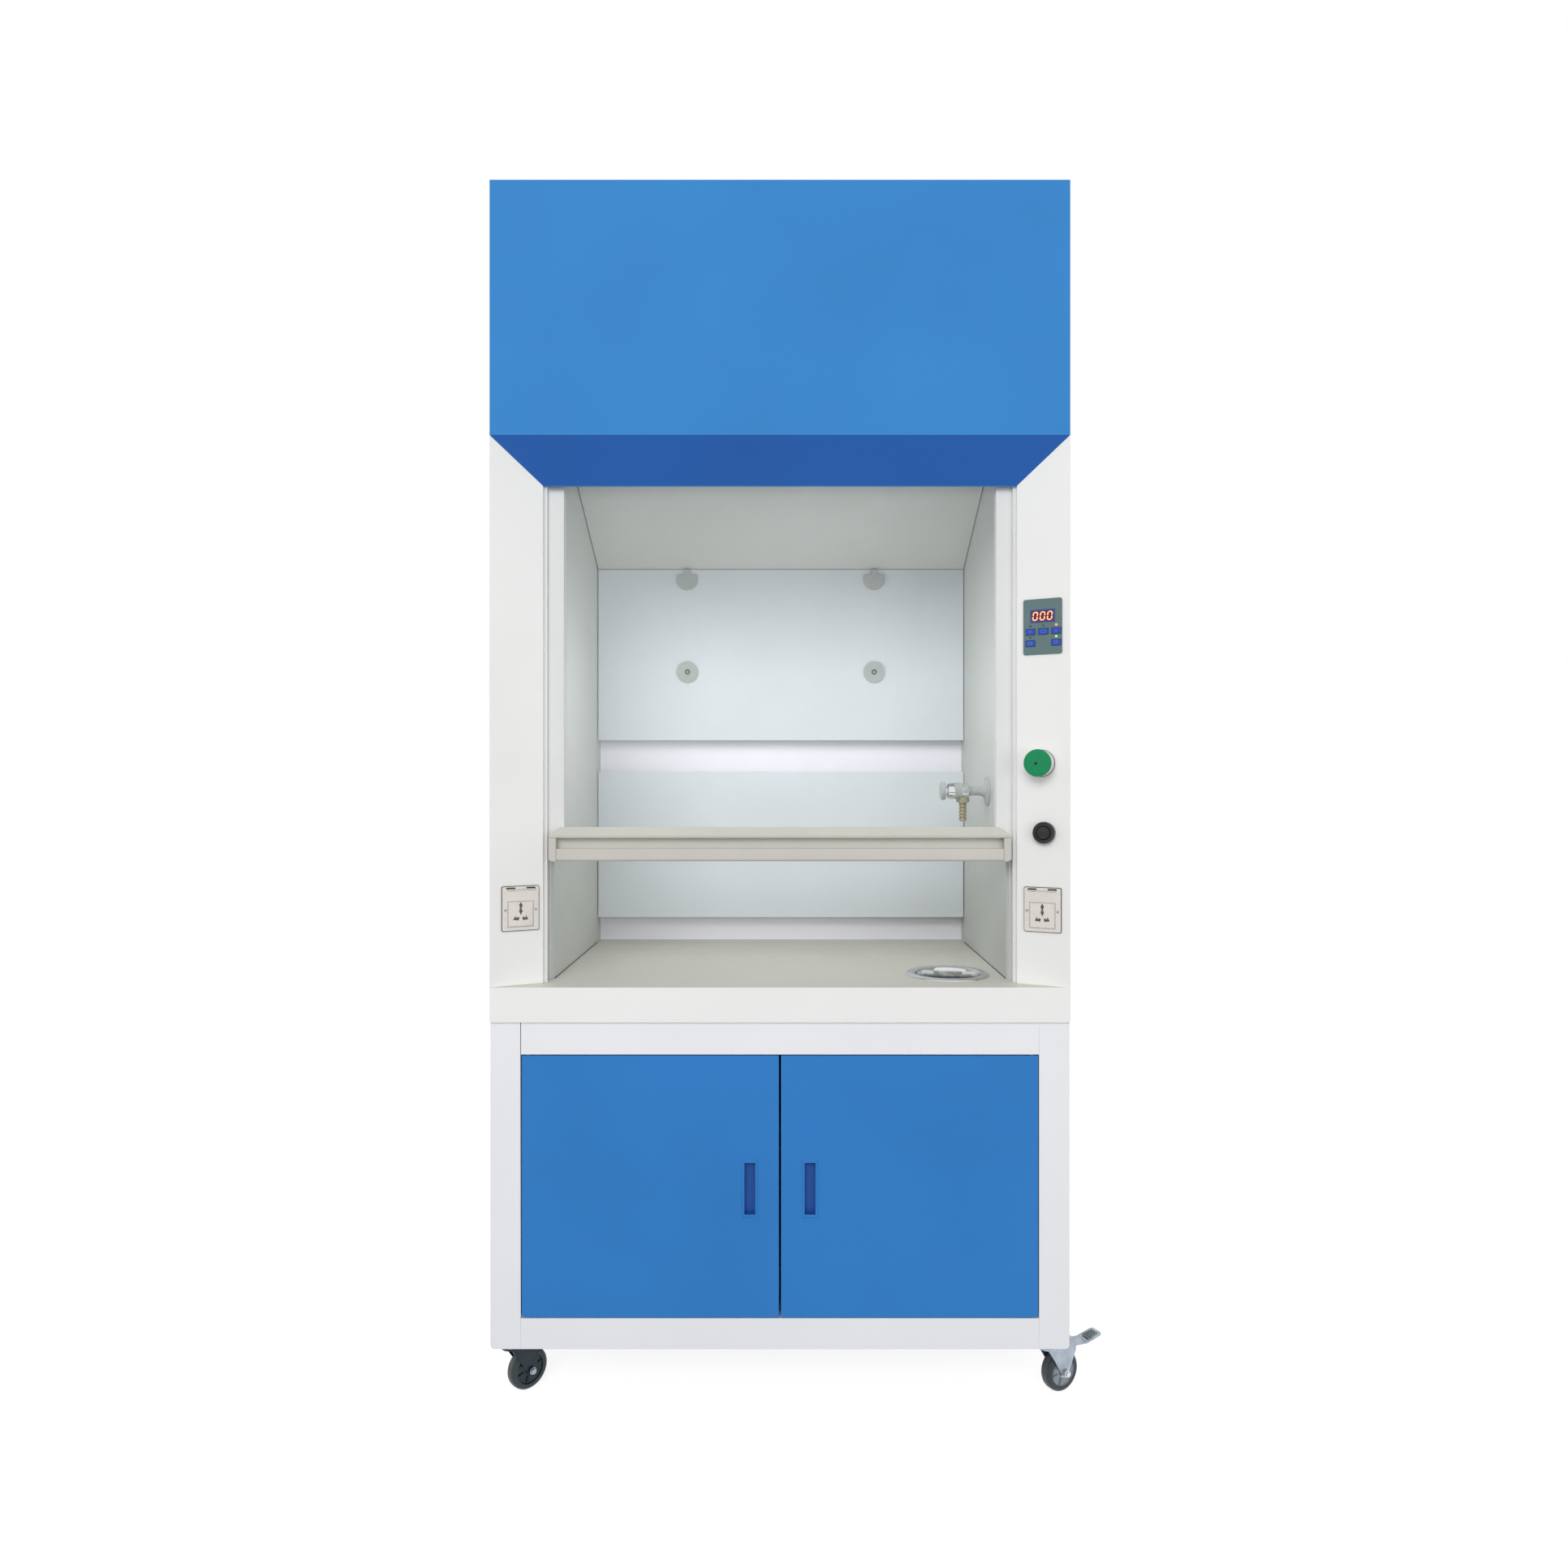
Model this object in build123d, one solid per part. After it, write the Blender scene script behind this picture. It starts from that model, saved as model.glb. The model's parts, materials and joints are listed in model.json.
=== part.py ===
from build123d import *
import math
import os

# Ducted fume hood on casters. Millimetres, X to the right, Y to the back, Z up.
# The origin is on the floor under the middle of the body. "Depth" below is counted back from the front face.

# Body
width = 1040
depth = 800
height = 2200
base_bottom = 103
sill_bottom = 691
worktop_top = 753.4
sheet = 2
base_recess = 6
base_corner = 8
frame_depth = 25
flange = 40

# Splayed front that narrows from the outer edge to the opening
splay_inset = 86
splay_depth = 42
splay_drop = 79
fascia_height = 457
fold_back = 8

# Work chamber
wall_space = 97
liner = 6
chamber_front = 84
baffle_depth = 535
chamber_depth = 575
ceiling_drop = 350
header_depth = 112
worktop_thick = 20
outlet_half_width = 200
outlet_length = 90
outlet_setback = 10

# Baffles: heights are shares of the front opening
baffle_thick = 5
baffle_gap = 2
lower_baffle_share = (0.0582, 0.3967)
middle_baffle_share = (0.4705, 0.8676)
disc_share = 0.6291
clip_drop_below = 13
top_baffle_flange = 37
top_baffle_angle = 27.4
top_baffle_front = 240
fixing_x = 215
disc_radius = 24
disc_hole = 6.5
disc_thick = 6
clip_half_width = 22.5
clip_drop = 34
clip_neck = 15
spacer_radius = 10
spacer_spread = 1.7

# Strip lamp under the ceiling
lamp_half = 310
lamp_depth = 168
lamp_width = 60
lamp_tray = 18
lamp_bow = 26
lamp_margin = 10

# Sash, its guides and its balance
guide_gap = 5
guide_width = 16
guide_drop = 100
guide_thick = 7.5
guide_clear = 0.5
sash_thick = 18
sash_overlap = 18
stile_width = 42
sash_open = 223.6
sash_top_drop = 292
bottom_rail = 43
top_rail = 28
glass_thick = 5
groove_depth = 6
groove_clear = 0.3
handle_gap = 2
handle_cap = 13
handle_slope = (48, 62)
handle_hip = (16, 9)
channel_low = 23
channel_deep = 16
channel_roof = 2
grip_step = 2
grip_round = (5, 3)
cap_chamfer = 5
handle_reach = 28
sash_travel_down = 215
sash_travel_share = 0.2779
belt_pitch = 30
belt_thick = 3
belt_gap = 3
belt_width = 9
belt_depth = 97
pulley_drop = 60
pulley_low_drop = 290
pulley_flange = 33
pulley_flange_thick = 1.5
shaft_radius = 8
shaft_end = 13
bearing_gap = 6
idler_pin = 6
clamp_height = 30
clamp_drop = 418
weight_gap = 4
weight_thick = 38
weight_drop = 535
weight_front = 85
weight_length = 117
weight_height = 283.5
weight_rod = 5
weight_rod_depth = 145

# Doors
door_gap = 2
door_inner = 2
door_outer = 463.5
door_bottom = 160
door_top = 630
door_thick = 20
door_corner = 6
pivot_side = 10
pivot_front = 6
pivot_radius = 3
pivot_length = 20
boss_half = 7
pull_x = 54
pull_z = 391.6
pull_bezel = (28.5, 105)
pull_hole = (19.5, 93)
pull_proud = 1.5
pull_wall = 2
pull_deep = 13

# Sink, drain, tap and water line
sink_x = 321
sink_depth = 132
sink_rim = 79
sink_opening = 60.5
sink_wall = 2.5
sink_deep = 135
sink_hole = 66
tail_length = 40
drain_radius = 16
drain_stub = 20
drain_z = 515
trap_radius = 32
trap_height = 110
union_height = 20
union_wall = 7
tap_depth = 259
tap_drop = 51.6
tap_flange = 30.5
tap_flange_thick = 4
tap_pipe = 9
tap_body_reach = (83, 38)
tap_body_radius = 16.5
tap_cap_reach = (96, 87)
tap_cap_radius = 18.5
nozzle_reach = 51
nozzle_drop = (26, 62)
nozzle_radius = 8.3
nozzle_rings = 5
water_pipe = 5
pipe_bend = 10
water_outlet_drop = 75.6
water_inlet_drop = 93.6
stub_reach = 22
stub_radius = 8
valve_radius = 14
valve_length = 48
valve_branches = (12, 38)

# Cable gland at the back
gland_x = -300
gland_drop = 250
gland_nut = 30
gland_nut_thick = 5
gland_cap = 14
gland_radius = 12
gland_bore = 5

# Controls on the splayed posts: heights are shares of the front opening
panel_x = 476
panel_share = 0.6564
panel_size = (69.5, 100.4)
panel_corner = 4
panel_proud = 3
panel_back = (68, 90, 24)
display_size = (44, 23.5)
display_up = 19
display_deep = 2
button_size = (17, 11)
button_columns = (-22, 1.5, 24.5)
button_rows = (-9, -30)
button_proud = 2
button_deep = 5
button_pocket = 8
button_clear = 0.3
water_knob_x = 474
water_knob_share = 0.40643
water_knob_radius = 24.5
water_knob_length = 38
black_knob_x = 479
black_knob_share = 0.27951
black_knob_radius = 20
black_knob_length = 17
knob_lift = 1
knob_hollow = 0.62
stem_radius = 4
stem_length = 12
switch_radius = 12
switch_length = 26
socket_right_x = 476
socket_right_share = 0.13854
socket_left_x = 471
socket_left_share = 0.14107
socket_size = (65, 79)
socket_corner = 2.5
socket_proud = 4
socket_back = (50, 56, 25)
insert_size = 44
insert_drop = 10
insert_proud = 1.5
lid_size = (61, 68)
lid_height = 5
lid_wall = 1.5
lid_pin = 0.9
lid_knuckle = 2
lid_tab = 16
lid_hinge_up = 35.5
ear_x = 18
ear_length = 12

# Blower and duct
blower_drop = 180
blower_width = 170
scroll_start = 100
scroll_end = 145
tongue_angle = 75
tongue_land = 1
tongue_bead = 3
throat_drop = 60
inlet_radius = 62
impeller_radius = 85
impeller_inner = 60
impeller_width = 130
blade_count = 24
blade_thick = 2
hub_length = 20
ring_thick = 3
blade_bow = 4
blade_hook = 5
inlet_wall = 6
inlet_reach = 12
foot_half = 70
foot_thick = 6
foot_inset = 8
motor_radius = 55
motor_length = 105
motor_gap = 10
motor_flange = 43
motor_foot = (30, 45)
fin_count = 6
fin_pitch = 14
fin_thick = 4
duct_radius = 100
duct_height = 60
duct_flange = 118
duct_wall = 2
transition_length = 50

# Casters
caster_x = 490
caster_inset = 46
caster_trail = 30
wheel_radius = 37.5
wheel_width = 24
axle_radius = 4
plate_size = 56
plate_thick = 3
race_radius = 22
race_height = 7
kingpin_radius = 6
crown_thick = 4
leg_thick = 2.5
wheel_gap = 2
leg_inset = 6
fork_reach = 46
leg_foot = 9
axle_nut = 6.5
hub_radius = 10
dish_radius = 26
dish_inner = 13
dish_deep = 4
tyre_round = 6
pedal_pivot = (50, 80)
pedal_pin = 2
pedal_thick = 3
pedal_drop = 5
pedal_sag = 38
pedal_tip = 128
front_right_heading = 30
front_left_heading = 45

# Clearances
running = 0.05
clear = 0.3

# Places that follow from the sizes above
half_width = width / 2
front = -depth / 2
rear = depth / 2
base_front = front + base_recess
chamber_half = half_width - wall_space
ceiling_bottom = height - ceiling_drop
fascia_bottom = height - fascia_height
splay_length = math.hypot(splay_inset, splay_depth)
chamber_front_y = front + chamber_front
chamber_rear_y = front + chamber_depth
sash_front_y = front + splay_depth + fold_back + guide_thick + guide_clear
sash_rear_y = sash_front_y + sash_thick
belt_y = front + belt_depth


def opening_z(share):
    """Height at a share of the front opening, between the worktop and the front cover."""
    return worktop_top + share * (fascia_bottom - worktop_top)


baffle_half = chamber_half - baffle_gap
lower_baffle = (opening_z(lower_baffle_share[0]), opening_z(lower_baffle_share[1]))
middle_baffle = (opening_z(middle_baffle_share[0]), opening_z(middle_baffle_share[1]))
top_baffle_fold = middle_baffle[1] + clear
clip_top = middle_baffle[1] - clip_drop_below
disc_z = opening_z(disc_share)
guide_inner = chamber_half + guide_gap
guide_outer = guide_inner + guide_width
guide_top = height - guide_drop
sash_half = chamber_half + sash_overlap
stile_inner = sash_half - stile_width
sash_bottom = worktop_top + sash_open
sash_height = height - sash_top_drop - sash_bottom
sash_travel_up = sash_travel_share * (fascia_bottom - worktop_top)
handle_half = chamber_half - handle_gap
belt_inner = guide_outer + belt_gap
pulley_top_z = height - pulley_drop
sash_clamp_z = sash_bottom + sash_height - clamp_drop
pulley_low_z = sash_clamp_z - pulley_low_drop
bearing_face = belt_inner + belt_width + bearing_gap
shaft_half = bearing_face + shaft_end
weight_inner = belt_inner + belt_width + weight_gap
weight_top = height - weight_drop
panel_z = opening_z(panel_share)
water_knob_z = opening_z(water_knob_share)
black_knob_z = opening_z(black_knob_share)
socket_right = (socket_right_x, opening_z(socket_right_share))
socket_left = (socket_left_x, opening_z(socket_left_share))
tap_z = water_knob_z - tap_drop
tap_body = (chamber_half - tap_body_reach[0], chamber_half - tap_body_reach[1])
tap_cap = (chamber_half - tap_cap_reach[0], chamber_half - tap_cap_reach[1])
nozzle_x = chamber_half - nozzle_reach
nozzle_top = tap_z - nozzle_drop[0]
nozzle_end = tap_z - nozzle_drop[1]
water_outlet_z = water_knob_z - water_outlet_drop
water_inlet_z = water_knob_z - water_inlet_drop
gland_z = height - gland_drop
blower_z = height - blower_drop
throat_top = height - throat_drop
scroll_centre = -(scroll_start * math.cos(math.radians(tongue_angle)) + scroll_end) / 2
fork_top = base_bottom - plate_thick - race_height - clear
leg_inner = wheel_width / 2 + wheel_gap
leg_outer = leg_inner + leg_thick


def block(x0, x1, y0, y1, z0, z1):
    """Box between two corners."""
    return Pos((x0 + x1) / 2, (y0 + y1) / 2, (z0 + z1) / 2) * Box(x1 - x0, y1 - y0, z1 - z0)


def rod(radius, start, end):
    """Round bar from one point to another."""
    first = Vector(*start)
    along = Vector(*end) - first
    place = Plane(origin=first, z_dir=along)
    return place * Cylinder(radius, along.length, align=(Align.CENTER, Align.CENTER, Align.MIN))


def mirrored(solid):
    """The same piece on the other side of the hood."""
    return mirror(solid, about=Plane.YZ)


def pair(solid):
    """A piece and its mirror image."""
    return [solid, mirrored(solid)]


def plan_prism(points, z0, z1):
    """Outline in X and Y, raised from z0 to z1."""
    return extrude(Plane.XY.offset(z0) * make_face(Polyline(points, close=True)), z1 - z0)


def side_prism(points, x0, x1):
    """Outline in Y and Z, drawn out from x0 to x1."""
    return extrude(Plane.YZ.offset(x0) * make_face(Polyline(points, close=True)), x1 - x0)


def front_prism(points, y0, y1):
    """Outline in X and Z, drawn out from y0 to y1."""
    return extrude(Plane.XZ.offset(-y1) * make_face(Polyline(points, close=True)), y1 - y0)


def folded(points, thickness):
    """Closed outline of a folded sheet: the given line, and its copy at a thickness to the left of it."""
    normals = []
    for (x0, y0), (x1, y1) in zip(points, points[1:]):
        length = math.hypot(x1 - x0, y1 - y0)
        normals.append(((y0 - y1) / length, (x1 - x0) / length))
    inner = []
    for index, (x, y) in enumerate(points):
        before = normals[max(index - 1, 0)]
        after = normals[min(index, len(normals) - 1)]
        step = thickness / (1 + before[0] * after[0] + before[1] * after[1])
        inner.append((x + step * (before[0] + after[0]), y + step * (before[1] + after[1])))
    return list(points) + inner[::-1]


def pan(x0, x1, y0, y1, z0, z1):
    """Folded steel pan with its face to the front and its open side to the back."""
    inside = block(x0 + sheet, x1 - sheet, y0 + sheet, y1 + sheet, z0 + sheet, z1 - sheet)
    return block(x0, x1, y0, y1, z0, z1) - inside


def save(node, pieces):
    """Write one node, which may hold several separate solids."""
    solids = []
    for piece in pieces if isinstance(pieces, (list, tuple)) else [pieces]:
        solids.extend(piece.solids())
    shape = solids[0] if len(solids) == 1 else Compound(children=solids)
    export_step(shape, f"parts/{node}.step")


def splay_place(x, z, side):
    """Plane on the splayed face of a post: local x across it to the right, local y up, z out of it."""
    back = splay_depth * (half_width - x) / splay_inset
    across = (splay_inset / splay_length, -side * splay_depth / splay_length, 0)
    out = (-side * splay_depth / splay_length, -splay_inset / splay_length, 0)
    return Plane(origin=(side * x, front + back, z), x_dir=across, z_dir=out)


def splay_box(place, size, z0, z1, x=0, y=0):
    """Box on a splayed face, between two heights above it."""
    return place * Pos(x, y, (z0 + z1) / 2) * Box(size[0], size[1], z1 - z0)


def round_corners(solid, place, radius):
    """Rounds the edges that stand out of a splayed face."""
    return fillet(solid.edges().filter_by(lambda edge: abs((edge % 0).dot(place.z_dir)) > 0.99), radius)


def splay_rod(place, radius, z0, z1, x=0, y=0):
    """Round bar that stands on a splayed face."""
    return place * Pos(x, y, (z0 + z1) / 2) * Cylinder(radius, z1 - z0)


# Base cabinet
def base_front_frame():
    """Two stiles and two rails round the doors, butted at the door edges."""
    inner = door_outer + door_gap
    back = base_front + frame_depth
    stile = pan(inner, half_width, base_front, back, base_bottom + base_corner, sill_bottom)
    foot = block(inner, half_width, base_front, back, base_bottom, base_bottom + base_corner)
    corner = foot.edges().filter_by(Axis.Y).group_by(Axis.Z)[0].sort_by(Axis.X)[-1]
    stile = stile + fillet(corner, base_corner - clear)
    top = pan(-inner, inner, base_front, back, door_top + door_gap, sill_bottom)
    bottom = pan(-inner, inner, base_front, back, base_bottom, door_bottom - door_gap)
    return pair(stile) + [top, bottom]


def base_panels():
    """One sheet folded into both sides and the floor, and the back sheet with the drain hole."""
    outline = block(-half_width, half_width, base_front + frame_depth, rear, base_bottom, sill_bottom)
    outline = fillet(outline.edges().filter_by(Axis.Y).group_by(Axis.Z)[0], base_corner)
    inside = block(
        sheet - half_width,
        half_width - sheet,
        base_front,
        rear + sheet,
        base_bottom + sheet,
        sill_bottom + sheet,
    )
    inside = fillet(inside.edges().filter_by(Axis.Y).group_by(Axis.Z)[0], base_corner - sheet)
    side = half_width - sheet
    back = block(-side, side, rear - sheet, rear, base_bottom + base_corner, sill_bottom)
    back -= rod(drain_radius + clear, (sink_x, rear - 2 * sheet, drain_z), (sink_x, rear + sheet, drain_z))
    return [outline - inside, back]


def sill():
    """Four folded channels round the worktop, with a flange below and a ledge that carries the slab."""
    ledge = worktop_top - worktop_thick
    edge = half_width - sheet
    bars = []
    for outer, inner in ((front, front + flange), (rear, rear - flange)):
        skin = sheet if outer < inner else -sheet
        bar = block(-half_width, half_width, *sorted((outer, outer + skin)), sill_bottom, worktop_top)
        for z in (sill_bottom, ledge - sheet):
            bar += block(-edge, edge, *sorted((outer + skin, inner)), z, z + sheet)
        bars.append(bar)
    side = block(edge, half_width, front + sheet, rear - sheet, sill_bottom, worktop_top)
    for z in (sill_bottom, ledge - sheet):
        side += block(half_width - flange, edge, front + flange, rear - flange, z, z + sheet)
    return bars + pair(side)


def worktop():
    """Solid slab let into the sill, with a round hole for the sink cup."""
    edge = half_width - sheet
    slab = block(-edge, edge, front + sheet, rear - sheet, worktop_top - worktop_thick, worktop_top)
    centre = (sink_x, front + sink_depth)
    return slab - rod(sink_hole, (*centre, worktop_top - 2 * worktop_thick), (*centre, worktop_top + 1))


# Upper casing
def mitre_cutter(above):
    """Wedge on one side of the mitre where a post meets the fascia."""
    slope = splay_drop / splay_inset
    inner = half_width - splay_inset - 2 * fold_back
    outer = half_width + fold_back
    low = fascia_bottom - slope * (half_width - inner)
    high = fascia_bottom + slope * fold_back
    far = high + splay_drop if above else low - splay_drop
    points = [(inner, low), (outer, high), (outer, far), (inner, far)]
    return front_prism(points, front - 1, front + splay_depth + 2 * fold_back)


def post(side):
    """Folded post with a splayed face, cut out for what it carries."""
    inner = half_width - splay_inset
    line = [
        (half_width, front + splay_depth),
        (half_width, front),
        (inner, front + splay_depth),
        (inner, front + splay_depth + fold_back),
    ]
    solid = plan_prism(folded(line, -sheet), worktop_top, fascia_bottom) - mitre_cutter(True)
    if side < 0:
        solid = mirrored(solid)
    socket_x, socket_z = socket_right if side > 0 else socket_left
    place = splay_place(socket_x, socket_z, side)
    hole = (socket_back[0] + 2 * clear, socket_back[1] + 2 * clear)
    solid -= splay_box(place, hole, -2 * sheet, sheet)
    if side > 0:
        hole = (panel_back[0] + 2 * clear, panel_back[1] + 2 * clear)
        solid -= splay_box(splay_place(panel_x, panel_z, side), hole, -2 * sheet, sheet)
        for x, z in ((water_knob_x, water_knob_z), (black_knob_x, black_knob_z)):
            solid -= splay_rod(splay_place(x, z, side), stem_radius + clear, -2 * sheet, sheet)
    return solid


def fascia():
    """Front cover of the top box, folded back under it as a splay and mitred to the posts."""
    line = [
        (front, height),
        (front, fascia_bottom),
        (front + splay_depth, fascia_bottom - splay_drop),
        (front + splay_depth + fold_back, fascia_bottom - splay_drop),
    ]
    solid = side_prism(folded(line, sheet), -half_width, half_width)
    low = fascia_bottom - splay_drop / splay_inset * sheet
    ends = block(half_width - sheet, half_width, front + sheet, front + splay_depth, low, height)
    solid += ends + mirrored(ends)
    return solid - mitre_cutter(False) - mirrored(mitre_cutter(False))


def side_panels():
    """Outer side sheets of the upper body."""
    return pair(block(half_width - sheet, half_width, front + splay_depth, rear, worktop_top, height))


def rear_panel():
    """Outer back sheet, with the hole for the water inlet and the cable gland for the supply."""
    edge = half_width - sheet
    x = valve_branch(1)[0]
    inside = rear - 2 * sheet
    wall = block(-edge, edge, rear - sheet, rear, worktop_top, height)
    wall -= rod(water_pipe + clear, (x, inside, water_inlet_z), (x, rear + sheet, water_inlet_z))
    wall -= rod(gland_radius, (gland_x, inside, gland_z), (gland_x, rear + sheet, gland_z))
    return [wall, cable_gland()]


def cable_gland():
    """Gland with a nut on each side of the sheet and a domed cap."""
    face = Plane(origin=(gland_x, rear, gland_z), z_dir=(0, 1, 0))
    nut = RegularPolygon(gland_nut / 2, 6, major_radius=False)
    gland = extrude(face * nut, gland_nut_thick)
    gland += extrude(face.offset(-sheet - gland_nut_thick) * nut, gland_nut_thick)
    inside = rear - sheet - 2 * gland_nut_thick
    gland += rod(gland_radius, (gland_x, inside, gland_z), (gland_x, rear + gland_nut_thick, gland_z))
    cap = Cone(gland_radius + 1, gland_radius - 3, gland_cap, align=(Align.CENTER, Align.CENTER, Align.MIN))
    gland += face.offset(gland_nut_thick) * cap
    outside = rear + gland_nut_thick + gland_cap + 1
    return gland - rod(gland_bore, (gland_x, inside - 1, gland_z), (gland_x, outside, gland_z))


def top_panel():
    """Lid of the top box with a round hole for the duct collar."""
    edge = half_width - sheet
    lid = block(-edge, edge, front + sheet, rear - sheet, height - sheet, height)
    return lid - rod(duct_radius + clear, (0, 0, height - 2 * sheet), (0, 0, height + sheet))


# Work chamber
def chamber_liner():
    """Side and back walls of the chamber; the sides are notched at the top front for the cross shaft."""
    outline = [
        (chamber_front_y, worktop_top),
        (chamber_rear_y, worktop_top),
        (chamber_rear_y, height - sheet),
        (front + header_depth, height - sheet),
        (front + header_depth, ceiling_bottom + liner),
        (chamber_front_y, ceiling_bottom + liner),
    ]
    side = side_prism(outline, chamber_half, chamber_half + liner)
    y = front + tap_depth
    hole = rod(water_pipe + clear, (chamber_half - liner, y, tap_z), (chamber_half + 2 * liner, y, tap_z))
    outer = chamber_half + liner
    wall = block(-outer, outer, chamber_rear_y, chamber_rear_y + liner, worktop_top, height - sheet)
    return [side - hole, mirrored(side), wall]


def ceiling_panel():
    """Ceiling of the chamber with the exhaust outlet at its back, and the header that stands on it."""
    top = ceiling_bottom + liner
    plate = block(-chamber_half, chamber_half, chamber_front_y, chamber_rear_y, ceiling_bottom, top)
    back = chamber_rear_y - outlet_setback
    plate -= block(
        -outlet_half_width,
        outlet_half_width,
        back - outlet_length,
        back,
        ceiling_bottom - liner,
        top + liner,
    )
    y = front + header_depth
    header = block(-chamber_half, chamber_half, y, y + liner, top, height - sheet)
    return [plate, header]


def flat_baffle(span):
    """Upright baffle between two heights."""
    y = front + baffle_depth
    return block(-baffle_half, baffle_half, y, y + baffle_thick, *span)


def baffle_top():
    """Inclined baffle, folded down behind the middle one."""
    y = front + baffle_depth + baffle_thick
    run = baffle_depth + baffle_thick - top_baffle_front
    rise = run * math.tan(math.radians(top_baffle_angle))
    line = [(y, top_baffle_fold - top_baffle_flange), (y, top_baffle_fold), (y - run, top_baffle_fold + rise)]
    return side_prism(folded(line, -baffle_thick), -baffle_half, baffle_half)


def baffle_fixings():
    """Round pads, half-round clips, and the spacers that hold the baffles off the back wall."""
    y = front + baffle_depth
    pieces = []
    for x in (-fixing_x, fixing_x):
        disc = rod(disc_radius, (x, y - disc_thick, disc_z), (x, y, disc_z))
        disc -= rod(disc_hole, (x, y - 2 * disc_thick, disc_z), (x, y - disc_thick / 2, disc_z))
        pieces.append(disc)
        pieces.append(rod(spacer_radius, (x, y + baffle_thick, disc_z), (x, chamber_rear_y, disc_z)))
        half = Sketch() + make_face(
            [
                Line((x - clip_half_width, clip_top), (x + clip_half_width, clip_top)),
                ThreePointArc(
                    (x + clip_half_width, clip_top),
                    (x, clip_top - clip_drop),
                    (x - clip_half_width, clip_top),
                ),
            ]
        )
        clip = extrude(Plane.XZ.offset(-y) * half, disc_thick)
        neck = clip_neck / 2
        clip += block(x - neck, x + neck, y - disc_thick, y, clip_top - disc_thick, middle_baffle[1])
        pieces.append(clip)
        z = clip_top - spacer_radius
        pieces.append(rod(spacer_radius, (x, y + 2 * baffle_thick, z), (x, chamber_rear_y, z)))
        for z in (lower_baffle[0] + flange, lower_baffle[1] - flange):
            side = x * spacer_spread
            pieces.append(rod(spacer_radius, (side, y + baffle_thick, z), (side, chamber_rear_y, z)))
    return pieces


def ceiling_lamp():
    """Sealed strip lamp under the ceiling: a tray and a bowed cover."""
    y0 = front + lamp_depth
    y1 = y0 + lamp_width
    middle = (y0 + y1) / 2
    low = ceiling_bottom - lamp_tray
    tray = block(-lamp_half, lamp_half, y0, y1, low, ceiling_bottom)
    end = lamp_half - lamp_margin
    cover = rod(lamp_bow, (-end, middle, low), (end, middle, low))
    cover -= block(-lamp_half, lamp_half, y0, y1, low, ceiling_bottom + lamp_bow)
    return [tray, cover]


# Sink and water
def sink_cup():
    """Drop-in cup with a rolled rim, a tapered bowl and a tail pipe."""
    outer = sink_opening + sink_wall
    profile = [
        (sink_rim, 0),
        (sink_rim, 1.5),
        (sink_rim - 3, 3.5),
        (outer + 2, 4),
        (sink_opening, 1),
        (sink_opening - 3, -sink_deep * 0.75),
        (sink_opening - 16, -sink_deep + 6),
        (drain_radius - 4, -sink_deep),
        (drain_radius - 4, -sink_deep - tail_length),
        (drain_radius, -sink_deep - tail_length),
        (drain_radius, -sink_deep - sink_wall),
        (sink_opening - 14, -sink_deep + 3),
        (outer - 3, -sink_deep * 0.75),
        (outer, 0),
    ]
    cup = revolve(Plane.XZ * make_face(Polyline(profile, close=True)), Axis.Z)
    return Pos(sink_x, front + sink_depth, worktop_top) * cup


def drain_trap():
    """Bottle trap under the sink, with its outlet pipe through the back."""
    y = front + sink_depth
    top = worktop_top - sink_deep - tail_length
    bottle_top = drain_z + 3 * union_height / 2
    trap = rod(drain_radius + union_wall, (sink_x, y, top - union_height), (sink_x, y, top))
    trap += rod(drain_radius, (sink_x, y, bottle_top), (sink_x, y, top - union_height))
    trap += rod(trap_radius, (sink_x, y, bottle_top - trap_height), (sink_x, y, bottle_top))
    trap += rod(drain_radius, (sink_x, y, drain_z), (sink_x, rear, drain_z))
    trap += rod(drain_stub, (sink_x, rear, drain_z), (sink_x, rear + stub_reach, drain_z))
    nut = y + trap_radius
    trap += rod(drain_radius + union_wall, (sink_x, nut, drain_z), (sink_x, nut + union_height, drain_z))
    return trap


def water_tap():
    """Outlet on the right wall: flange, pipe, chrome body, end cap and serrated hose nozzle."""
    y = front + tap_depth
    wall = chamber_half
    tap = rod(tap_flange, (wall - tap_flange_thick, y, tap_z), (wall, y, tap_z))
    tap += rod(tap_pipe, (tap_body[1], y, tap_z), (wall - tap_flange_thick, y, tap_z))
    tap += rod(tap_body_radius, (tap_body[0], y, tap_z), (tap_body[1], y, tap_z))
    tap += rod(tap_pipe - 1, (tap_cap[1], y, tap_z), (tap_body[0], y, tap_z))
    tap += rod(tap_cap_radius, (tap_cap[0], y, tap_z), (tap_cap[1], y, tap_z))
    tap += rod(nozzle_radius + 2, (nozzle_x, y, nozzle_top), (nozzle_x, y, tap_z))
    pitch = (nozzle_top - nozzle_end) / nozzle_rings
    for index in range(nozzle_rings):
        low = nozzle_end + index * pitch
        ring = Cone(nozzle_radius - 2, nozzle_radius, pitch, align=(Align.CENTER, Align.CENTER, Align.MIN))
        tap += Pos(nozzle_x, y, low) * ring
    return tap


def valve_branch(index):
    """Where a pipe leaves the water valve, behind the face of the post."""
    place = splay_place(water_knob_x, water_knob_z, 1)
    point = place.origin - place.z_dir * valve_branches[index - 1]
    return point.X, point.Y


def pipe_run(points):
    """Bent pipe through the given points."""
    path = FilletPolyline(points, radius=pipe_bend)
    return sweep(Plane(origin=path @ 0, z_dir=path % 0) * Circle(water_pipe), path)


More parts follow.
